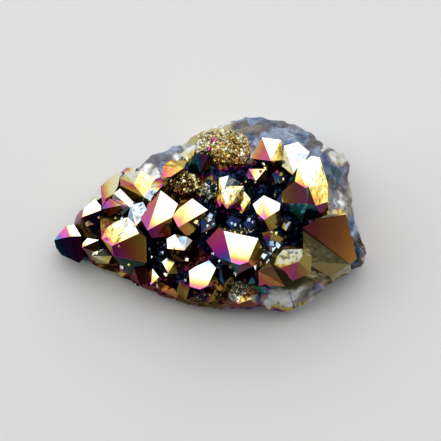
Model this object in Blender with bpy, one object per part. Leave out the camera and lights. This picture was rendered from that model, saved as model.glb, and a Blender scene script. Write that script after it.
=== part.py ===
"""Aura quartz cluster: one piece of intergrown quartz crystals on its own broken matrix.

The druse is laid out on a plan of its crystal face, in quarter-millimetre squares: X runs to the right
and Y down the sheet, seen square-on from VIEW millimetres in front of the face. A depth in millimetres
stands out of the face towards the reader. The face leans forward by 90 - FACE_RISE degrees when the
cluster sits on its flat broken base, so FACE_RISE is the slope of the reader's line of sight.
"""
import math

import bmesh
import bpy
from mathutils import Vector

# ---- driving dimensions -------------------------------------------------------------------------
SQUARE = 0.25            # mm, one square of the plan
PLAN_MIDDLE = (210.5, 215.5)
VIEW = 600.0             # mm, distance that the plan is seen from
FACE_RISE = 75.0         # degrees
BASE_DROP = 16.0         # mm, height of the plan's middle above the base plane at depth 0
ORIGIN_X = 0.1635        # mm, puts the middle of the bounding box over the origin
ORIGIN_Y = -2.496
PYRAMID = 47.0           # degrees between a crystal's axis and its ridges
PRISM = 7.0              # mm, how far a crystal's prism runs back from its ridges
PRISM_TAPER = 0.9        # the hidden prisms draw in a little towards their roots
FLOOR_GAP = 1.0          # mm, no crystal reaches lower than this above the base plane
BASE_SHRINK = 0.86       # base outline against the rim outline
SIDE_BULGE = 0.03        # how far the broken sides belly out between rim and base
TURN = 64                # points round the matrix
TOP_RINGS = (0.22, 0.45, 0.65, 0.82)
SIDE_RINGS = (0.25, 0.6, 0.88)
MM = 0.001

RISE = math.radians(FACE_RISE)
AXIS_U = Vector((1.0, 0.0, 0.0))
AXIS_V = Vector((0.0, math.sin(RISE), math.cos(RISE)))
AXIS_W = Vector((0.0, -math.cos(RISE), math.sin(RISE)))

# ---- the crystals -------------------------------------------------------------------------------
# name: tip (x, y, depth), way the point leans (bearing from +X towards the top of the sheet, lean from
# the line of sight), corners round the point: (x, y) is a ridge end on the pyramid's cone, (x, y, depth) is
# placed, and (x, y, (i, j, k)) lies flat on the face through corners i, j and k, counting the tip as 0
CRYSTALS = {
    # left end
    "a": ((54, 240, -6.2), (190, 62), [(60, 232.5, (0, 2, 5)), (66, 226, -5.0), (74, 224.5, (2, 4, 5)), (81, 236, -2.6),
                                       (70, 236.5, -3.4), (84, 258, (4, 5, 7)), (79, 263, -5.9),
                                       (61.5, 255, (0, 5, 7)), (56, 248, (0, 5, 7))]),
    "b": ((82, 247.5, 0.5), (215, 36), [(83, 243), (87.5, 238), (99, 240), (100, 253), (88, 255)]),
    "c": ((81.7, 217.5, -0.5), (200, 52), [(84, 208.5, (0, 2, 4)), (95, 199, -1.4), (101, 206, (0, 2, 4)),
                                           (101, 210, 0.3), (96, 238, -1.8), (84, 237, -3.4), (76, 232, -5.5),
                                           (74, 224.5, -6), (76, 216.5, -5.5), (80, 210.5, -4.5)]),
    "c2": ((89, 205, -2), (160, 55), [(90, 200, -4), (95, 195, -4), (99, 189, -4), (104, 196, -1)]),
    "d": ((102.5, 207, 1.0), (235, 52), [(100.5, 186.5, -0.4), (105, 182.5, (1, 4, 7)), (115, 175.5, (1, 4, 7)),
                                         (121, 170.5, -1.1), (118, 186, (1, 4, 7)), (114, 193.5, (1, 4, 7)),
                                         (105.5, 199, 2.2)]),
    "e": ((101.5, 209.3, 3.5), (205, 42), [(106, 202, 2.6), (110.5, 198.5, 2.6), (120.5, 205.5, (0, 1, 2)), (127, 214.5),
                                           (113, 220), (103, 217)]),
    "bd": ((130, 207.5, 5.4), (240, 50), [(112, 199, 2.8), (114, 193.5, 3.4), (120, 188.5, 4.0), (134, 202.5, (0, 2, 3)),
                                          (122, 216, 3.2)]),
    "bw": ((135.5, 227, 6.0), (235, 50), [(128, 217, 5), (131, 205, 5.5), (143, 202, 6.5),
                                          (148, 212, 7), (142, 226, 5.5)]),
    "f": ((101.5, 238.5, 3.5), (212, 58), [(112, 246, 5.5), (100, 217, -0.6), (106, 228.5, (0, 5, 6)),
                                           (115, 222, (0, 5, 6)), (127, 217.5, 4.6), (139, 233.5, 7.6),
                                           (131, 219, (0, 5, 6)), (146.5, 262.5, 2.0), (113.5, 256, (1, 6, 8)),
                                           (146, 237, (1, 6, 8)), (140, 272, -1.6), (128, 274, -3.4),
                                           (118, 264, -2.4)]),
    "fb": ((92, 256, -1), (225, 32), [(93, 251), (104, 249), (112, 256), (108, 264), (96, 263)]),
    # upper left
    "q": ((120.5, 185.5, 4.0), (225, 58), [(120, 178, 2.4), (125, 173.5, 2.2), (141, 170.5, 3.6), (156, 180, 5.4),
                                           (133.5, 184.5, 6.0), (144, 197, 7.4), (151, 201, 6.8),
                                           (141, 205, 4.0), (131, 200, 3.0)]),
    "qb": ((149, 201, 7.0), (250, 50), [(145, 190, 6), (156, 179, 5.5), (161, 177, 6), (164, 184, 7)]),
    "r": ((162, 177, 6.6), (215, 36), [(163, 166, 5.2), (170, 160.5, 4.9), (187.5, 160.5, 6.0), (184, 168, 7.4),
                                       (170.5, 177, 7.2)]),
    "lt": ((123, 272, -2.5), (235, 45), [(114, 268), (120, 261), (132, 268), (134, 276)]),
    "u1": ((126, 168, -2), (120, 50), [(121, 172, -4), (127, 166.8, -4), (136, 168, -3.5), (134, 176, 0),
                                       (124, 176, 0)]),
    # middle
    "g": ((147.5, 230.5, 9.5), (228, 36), [(141, 219, (0, 2, 3)), (148, 204, 6.4), (161, 190.5, 7.3),
                                           (172, 199, (0, 3, 6)), (178, 204, (0, 3, 6)), (172, 217.5, 8.5),
                                           (171, 236, 5.5), (152, 238, (0, 6, 7))]),
    "h": ((178.5, 227.5, 11.0), (240, 34), [(172.5, 216, (0, 2, 3)), (179, 208.5, 9.2), (192.5, 198.5, 9.1),
                                            (208, 210, 9.1), (195, 218, (0, 3, 4)), (193.5, 232, 7.3),
                                            (187, 237, (0, 5, 6))]),
    "h2": ((202, 233, 9.0), (250, 30), [(194, 222), (200, 214), (214, 214), (216, 226), (208, 236)]),
    "i": ((184.5, 250.5, 9.6), (255, 28), [(167.5, 248.5, (0, 2, 3)), (167, 239, 7.6), (175, 234.5, 8.2),
                                           (187, 237, 8.0), (192.5, 240.5, 7.6), (190, 250.5, 7.4)]),
    "i2": ((186, 262, 6.5), (265, 28), [(170, 260), (168, 250), (193, 248), (195, 262)]),
    "j": ((200, 289.5, 6.5), (262, 33), [(190, 286.5, (0, 2, 5)), (189, 271, 5.3), (196, 266.5, (0, 2, 5)),
                                         (209, 260.5, (0, 2, 5)), (216, 268, 5.2), (208, 285.5, (0, 2, 5)),
                                         (218.5, 284, 3.4)]),
    "k": ((240, 265, 13.4), (262, 34), [(224, 231, 11.6), (258.5, 238.5, 12.0), (248.5, 262, (0, 1, 2)),
                                        (231.5, 262.5, (0, 1, 2)), (206.5, 241, 8.3), (219, 227.5, (1, 4, 5)),
                                        (217, 257, (1, 4, 5)), (237, 274.5, 9.3), (266, 256, 8.5),
                                        (252, 267, (2, 3, 9))]),
    "l": ((264.5, 220, 12.5), (265, 34), [(253, 204.5, 10.1), (264, 195.5, 10.9), (280.5, 203.5, 10.1),
                                          (279.5, 210, (0, 2, 3)), (281, 226, 8.4), (270, 231, (0, 4, 5)),
                                          (258.5, 222, 8.8), (257, 213, (0, 1, 2))]),
    "u": ((270, 251, 10.0), (262, 34), [(262, 233), (271, 231), (284, 239), (278, 249)]),
    "uc": ((286, 231, 10.0), (265, 28), [(282, 227), (284, 221.5), (291, 222), (292, 229)]),
    "k2": ((232, 229, 9.0), (262, 30), [(226, 222), (232, 216), (242, 220), (243, 227)]),
    "k3": ((249, 230, 9.5), (262, 30), [(243, 224), (249, 217), (256, 222), (258, 229)]),
    # right
    "m": ((308, 204, 14.0), (262, 20), [(305.5, 188, 15.2), (309, 187, 15.2), (282, 192, 10.6), (282, 203, (0, 1, 3)),
                                        (295, 181.5, (0, 1, 3)), (312, 156, 12.2), (298, 167, (1, 2, 6)),
                                        (320, 157.5, (1, 2, 6)), (313, 172, (1, 2, 6)), (328, 184, 11.3),
                                        (316, 205.5, 13.0), (328, 202, (2, 10, 11)), (322, 217, 8.5),
                                        (302, 222, 8.5), (329, 214, 7.0)]),
    "w": ((302.5, 228, 12.5), (290, 40), [(320, 218.5, (0, 2, 5)), (346, 214.5, 6.2), (350, 230, (0, 2, 5)),
                                          (353, 246, (0, 2, 5)), (357, 259, 3.4), (350, 264, (0, 2, 5)),
                                          (338, 246, (0, 2, 5)), (330, 233, (0, 2, 5))]),
    "wb": ((303, 231, 11.0), (275, 45), [(330, 234, 7.8), (338, 247, 6.2), (350, 264, 3.8), (352, 272, -1),
                                         (330, 277, 1.5), (304, 262, 6)]),
    "t": ((281, 267.5, 11.5), (250, 40), [(274.5, 265, (0, 3, 6)), (277, 257, (0, 3, 6)), (283, 250, 9.8),
                                          (302, 249, (0, 3, 6)), (303, 255, (0, 3, 6)), (299, 262, 11.9),
                                          (293, 281, 6), (311, 273, 6), (312, 256, 8)]),
    "s": ((258.5, 271, 9.0), (225, 48), [(263, 266.5), (272, 266), (285, 286, 6), (271, 290, 3), (259, 286, 4)]),
    "s2": ((264, 293, 4.5), (265, 32), [(254, 290), (255, 280), (266, 284), (271, 290)]),
    # top
    "n": ((271, 161, 9.5), (262, 36), [(251.5, 158.5, 6.4), (262, 137.5, 6.4), (281, 140, 6.4), (285, 160, 6.8),
                                       (278, 176, 3)]),
    "o": ((295, 177, 9.5), (262, 34), [(282, 166), (284, 146), (298, 142), (310, 152), (302, 168)]),
    "n2": ((256, 181, 8.5), (262, 30), [(246, 176), (249, 169), (266, 169), (267, 180), (257, 191)]),
    "n3": ((276, 184, 8.5), (255, 30), [(267, 180), (272, 173), (283, 174), (286, 182)]),
    "p": ((223, 193, 9.0), (262, 30), [(219, 188), (219, 178), (229, 175.5), (240, 182), (236, 192)]),
    "pa": ((227, 209, 10.5), (258, 30), [(221, 201), (221.5, 191), (232, 186), (244, 186), (243, 198), (236, 208)]),
    "pb": ((243, 212, 8.5), (262, 28), [(235, 208), (238, 197), (244.5, 191.5), (250.5, 199), (250, 209)]),
    "pc": ((220, 207, 7.5), (250, 30), [(215.5, 203), (214.5, 194), (220, 189), (224, 200)]),
    "p2": ((209, 199, 7.5), (255, 28), [(202, 193), (205, 183), (217, 184), (217, 196)]),
    "v1": ((200, 173, 5.0), (255, 30), [(190, 168, 3), (193, 154, 2.5), (209, 155, 3.5), (211, 168, 3.5)]),
    "v2": ((232, 164, 6.0), (265, 20), [(211, 155, 5), (213, 138, 1.5), (228, 133, 0), (247, 137, 1),
                                        (250, 150, 3.5), (246, 163, 5.2), (216, 162, 4)]),
    "v3": ((219, 134, -1.0), (100, 20), [(198, 142, 0), (204, 133, -4), (214, 128, -6), (230, 130, -3),
                                         (212, 150, 3), (198, 152, 2)]),
    "v4": ((183, 195, 6.5), (250, 20), [(167, 188, 4.5), (168, 176, 4.5), (184, 171, 5), (196, 178, 5.5),
                                        (197, 191, 6)]),
    # lower edge
    "bc1": ((151, 285, -1.0), (250, 32), [(147.5, 273), (152.5, 268.5), (159, 277)]),
    "bc2": ((162, 291.5, -0.5), (240, 32), [(156.5, 280.5), (173, 288), (182, 293.5), (176, 298)]),
    "bc3": ((168, 273, 3.5), (255, 30), [(162, 262), (167, 258), (175, 262), (178, 274), (172, 282)]),
    "bc4": ((140, 285, -1.5), (250, 45), [(130, 278, -3), (134, 268, 0), (147, 268, 1), (150, 282, -1)]),
    "bc5": ((186, 300, 0.5), (262, 30), [(176, 292), (180, 280), (192, 280), (198, 294)]),
    "bc6": ((208, 303, 1.5), (262, 30), [(199, 297), (203, 286), (217, 286), (221, 298)]),
    "bc7": ((238, 304, 2.0), (262, 30), [(228, 298), (231, 287), (246, 287), (252, 299)]),
    "bc10": ((221, 291, 3.5), (262, 30), [(210, 288), (214, 280), (226, 282), (229, 291)]),
    "bc8": ((224, 284, 6.0), (262, 30), [(217, 278), (221, 268), (233, 274), (234, 284)]),
    "bc9": ((248, 284, 6.5), (250, 30), [(238, 280), (243, 270), (255, 271), (255, 283)]),
}

# ---- the matrix: rim seen from the front (x, y, depth), clockwise from the left ---------------------
RIM = [(74, 244, -11), (80, 228, -9.5), (90, 212, -8), (106, 190, -7), (124, 174, -6), (140, 166.5, -6), (153, 157, -7),
       (170, 149, -8), (187, 142.5, -8), (200, 133.5, -9), (220, 124.5, -10), (240, 120, -10),
       (260, 117, -11), (280, 121.5, -11), (300, 127.5, -11), (312, 134, -11), (325, 146, -10),
       (343, 153, -9), (350, 166, -8), (348, 186, -7), (351, 205, -7), (354, 222, -7), (361, 240, -7),
       (366, 253, -8), (360, 265, -8), (350, 273, -7), (336, 279, -5), (322, 289.5, -3), (305, 306, -4),
       (290, 310.5, -4), (265, 308.5, -4), (240, 308, -5), (215, 306.5, -5), (190, 304, -6),
       (170, 298, -7), (150, 289, -7), (130, 278, -8), (105, 268, -9), (90, 261.5, -10), (80, 258, -10.5)]
HUB = (222, 218)         # where the matrix's rings close in
# depth of the growing surface under the crystals, along X
BED = [(70, -7), (110, -4), (150, 0.5), (200, 3.0), (250, 4.5), (300, 5.0), (330, 3.0), (370, -4)]


def spot(x, y, w):
    """A plan square at depth w, as millimetres (u right, v up, w out) in the face's own frame."""
    shrink = SQUARE * (1.0 - w / VIEW)
    return Vector(((x - PLAN_MIDDLE[0]) * shrink, (PLAN_MIDDLE[1] - y) * shrink, w))


def stand(p):
    """From the face's frame to the standing cluster, in millimetres."""
    q = AXIS_U * p.x + AXIS_V * p.y + AXIS_W * p.z
    return q + Vector((ORIGIN_X, ORIGIN_Y, BASE_DROP))


def aim(bearing, lean):
    """Unit vector that leans from the line of sight towards a bearing (0 right, 90 up the sheet)."""
    b, l = math.radians(bearing), math.radians(lean)
    return Vector((math.sin(l) * math.cos(b), math.sin(l) * math.sin(b), math.cos(l)))


def on_cone(tip, axis, x, y):
    """The point seen at plan (x, y) on the cone of the ridges that run back from a tip."""
    c2 = math.cos(math.radians(PYRAMID)) ** 2
    w = tip.z - 1.0
    for _ in range(4):
        d = spot(x, y, w) - tip
        s = -(axis.x * d.x + axis.y * d.y)
        r2 = d.x * d.x + d.y * d.y
        a, b, c = axis.z ** 2 - c2, -2.0 * s * axis.z, s * s - c2 * r2
        disc = b * b - 4 * a * c
        if abs(a) < 1e-6 or disc < 0:
            q = -0.6 * math.sqrt(r2)
        else:
            roots = [(-b + sign * math.sqrt(disc)) / (2 * a) for sign in (1, -1)]
            kept = [v for v in roots if s - axis.z * v > 0] or roots
            q = max(kept)
        w = tip.z + max(q, -7.0)
    return spot(x, y, w)


def on_plane(x, y, a, b, c):
    """The point seen at plan (x, y) on the plane of three corners."""
    n = (b - a).cross(c - a)
    u, v = (x - PLAN_MIDDLE[0]) * SQUARE, (PLAN_MIDDLE[1] - y) * SQUARE
    across = n.x * u + n.y * v
    return spot(x, y, (n.dot(a) - across) / (n.z - across / VIEW))


def crystal_points(tip, way, ring):
    """Corner points of one crystal: its tip, its ridge ends and the hidden prism behind them."""
    t = spot(*tip)
    axis = aim(*way)
    ends = [t] + [None] * len(ring)
    for n, p in enumerate(ring, 1):
        if len(p) == 2:
            ends[n] = on_cone(t, axis, *p)
        elif not isinstance(p[2], tuple):
            ends[n] = spot(*p)
    for n, p in enumerate(ring, 1):
        if ends[n] is None:
            ends[n] = on_plane(p[0], p[1], *(ends[i] for i in p[2]))
    ends = ends[1:]
    middle = sum(ends, Vector()) / len(ends)
    back = [middle + (e - middle) * PRISM_TAPER - Vector((0, 0, PRISM)) for e in ends]
    return [stand(p) for p in [t] + ends + back]


def hull_mesh(name, points):
    bm = bmesh.new()
    for p in points:
        bm.verts.new(p * MM)
    found = bmesh.ops.convex_hull(bm, input=bm.verts[:])
    spare = {v for v in found["geom_interior"] + found["geom_unused"] if isinstance(v, bmesh.types.BMVert)}
    bmesh.ops.delete(bm, geom=list(spare), context="VERTS")
    low = bmesh.ops.bisect_plane(bm, geom=bm.verts[:] + bm.edges[:] + bm.faces[:], dist=1e-7,
                                 plane_co=(0, 0, FLOOR_GAP * MM), plane_no=(0, 0, -1), clear_outer=True)
    cut = [e for e in low["geom_cut"] if isinstance(e, bmesh.types.BMEdge)]
    if cut:
        bmesh.ops.contextual_create(bm, geom=cut)
    bmesh.ops.dissolve_limit(bm, angle_limit=math.radians(3.0), verts=bm.verts[:], edges=bm.edges[:])
    bmesh.ops.triangulate(bm, faces=bm.faces[:])
    bmesh.ops.recalc_face_normals(bm, faces=bm.faces[:])
    mesh = bpy.data.meshes.new(name)
    bm.to_mesh(mesh)
    bm.free()
    return mesh


def bed_depth(x):
    for (xa, wa), (xb, wb) in zip(BED, BED[1:]):
        if x <= xb:
            t = max(0.0, (x - xa) / (xb - xa))
            return wa + (wb - wa) * t
    return BED[-1][1]


def matrix_mesh(name):
    """The broken lump under the crystals: rings on top, a rim, bellied sides and a flat base at z = 0."""
    rim = [Vector(p) for p in RIM]
    spans = [(rim[(i + 1) % len(rim)] - p).to_2d().length for i, p in enumerate(rim)]
    total = sum(spans)
    around = []
    for k in range(TURN):
        s, i = total * k / TURN, 0
        while s > spans[i]:
            s -= spans[i]
            i += 1
        around.append(rim[i].lerp(rim[(i + 1) % len(rim)], s / spans[i]))
    hub = Vector((HUB[0], HUB[1], bed_depth(HUB[0])))
    rows = []
    for f in TOP_RINGS:
        row = []
        for p in around:
            x, y = hub.x + (p.x - hub.x) * f, hub.y + (p.y - hub.y) * f
            k = f ** 4
            row.append(stand(spot(x, y, bed_depth(x) * (1 - k) + p.z * k)))
        rows.append(row)
    edge = [stand(spot(*p)) for p in around]
    rows.append(edge)
    middle = sum(edge, Vector()) / len(edge)
    foot = [Vector((middle.x + (e.x - middle.x) * BASE_SHRINK, middle.y + (e.y - middle.y) * BASE_SHRINK, 0))
            for e in edge]
    for f in SIDE_RINGS:
        row = []
        for e, b in zip(edge, foot):
            p = e.lerp(b, f)
            out = Vector((p.x - middle.x, p.y - middle.y, 0)) * SIDE_BULGE * math.sin(math.pi * f)
            row.append(p + out)
        rows.append(row)
    rows.append(foot)
    bm = bmesh.new()
    top = bm.verts.new(stand(spot(*hub)) * MM)
    rings = [[bm.verts.new(p * MM) for p in row] for row in rows]
    for k in range(TURN):
        bm.faces.new((top, rings[0][k], rings[0][(k + 1) % TURN]))
        for a, b in zip(rings, rings[1:]):
            bm.faces.new((a[k], b[k], b[(k + 1) % TURN], a[(k + 1) % TURN]))
    bm.faces.new(rings[-1])
    bmesh.ops.recalc_face_normals(bm, faces=bm.faces[:])
    bmesh.ops.triangulate(bm, faces=[f for f in bm.faces if len(f.verts) == 4])
    mesh = bpy.data.meshes.new(name)
    bm.to_mesh(mesh)
    bm.free()
    return mesh


def coated_quartz():
    material = bpy.data.materials.new("coated_quartz")
    material.use_nodes = True
    shader = material.node_tree.nodes["Principled BSDF"]
    shader.inputs["Base Color"].default_value = (0.62, 0.38, 0.32, 1.0)
    shader.inputs["Metallic"].default_value = 0.8
    shader.inputs["Roughness"].default_value = 0.18
    return material


def build():
    for thing in list(bpy.data.objects):
        bpy.data.objects.remove(thing)
    cluster = bpy.data.objects.new("quartz_cluster", matrix_mesh("quartz_cluster"))
    bpy.context.scene.collection.objects.link(cluster)
    cluster.data.materials.append(coated_quartz())
    grown = bpy.data.collections.new("crystals")
    bpy.context.scene.collection.children.link(grown)
    for name, (tip, way, ring) in CRYSTALS.items():
        crystal = bpy.data.objects.new("crystal_" + name, hull_mesh("crystal_" + name, crystal_points(tip, way, ring)))
        crystal.hide_render = True
        crystal.display_type = "WIRE"
        grown.objects.link(crystal)
        join = cluster.modifiers.new("grown_" + name, "BOOLEAN")
        join.operation = "UNION"
        join.solver = "EXACT"
        join.object = crystal


build()
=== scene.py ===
"""Aura quartz cluster: the looks. Coated quartz points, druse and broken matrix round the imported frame."""
import math
import random

import bmesh
import bpy
from mathutils import Matrix, Vector, noise


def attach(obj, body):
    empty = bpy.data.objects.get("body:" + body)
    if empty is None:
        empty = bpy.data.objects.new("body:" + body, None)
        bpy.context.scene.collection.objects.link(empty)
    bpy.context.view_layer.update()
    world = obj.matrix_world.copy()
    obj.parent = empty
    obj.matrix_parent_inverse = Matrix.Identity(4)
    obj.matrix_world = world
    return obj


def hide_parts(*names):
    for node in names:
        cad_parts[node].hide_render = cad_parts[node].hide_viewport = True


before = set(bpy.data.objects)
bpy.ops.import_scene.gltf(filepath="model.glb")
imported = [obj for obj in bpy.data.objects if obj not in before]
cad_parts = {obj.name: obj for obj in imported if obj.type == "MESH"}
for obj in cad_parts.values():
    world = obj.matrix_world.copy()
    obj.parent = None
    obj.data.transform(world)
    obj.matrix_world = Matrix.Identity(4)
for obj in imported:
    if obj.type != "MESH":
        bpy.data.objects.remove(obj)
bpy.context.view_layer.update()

noise.seed_set(7)

# ---- the druse's plan, as in the CAD: quarter-millimetre squares, X right, Y down, depth out in mm ----
SQUARE = 0.25
PLAN_MIDDLE = (210.5, 215.5)
VIEW = 600.0
FACE_RISE = 75.0
BASE_DROP = 16.0
ORIGIN_X = 0.1635
ORIGIN_Y = -2.496
PYRAMID = 47.0
PRISM = 7.0
PRISM_TAPER = 0.9
FLOOR_GAP = 1.0
BASE_SHRINK = 0.86
SIDE_BULGE = 0.03
MM = 0.001

RISE = math.radians(FACE_RISE)
AXIS_U = Vector((1.0, 0.0, 0.0))
AXIS_V = Vector((0.0, math.sin(RISE), math.cos(RISE)))
AXIS_W = Vector((0.0, -math.cos(RISE), math.sin(RISE)))

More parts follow.
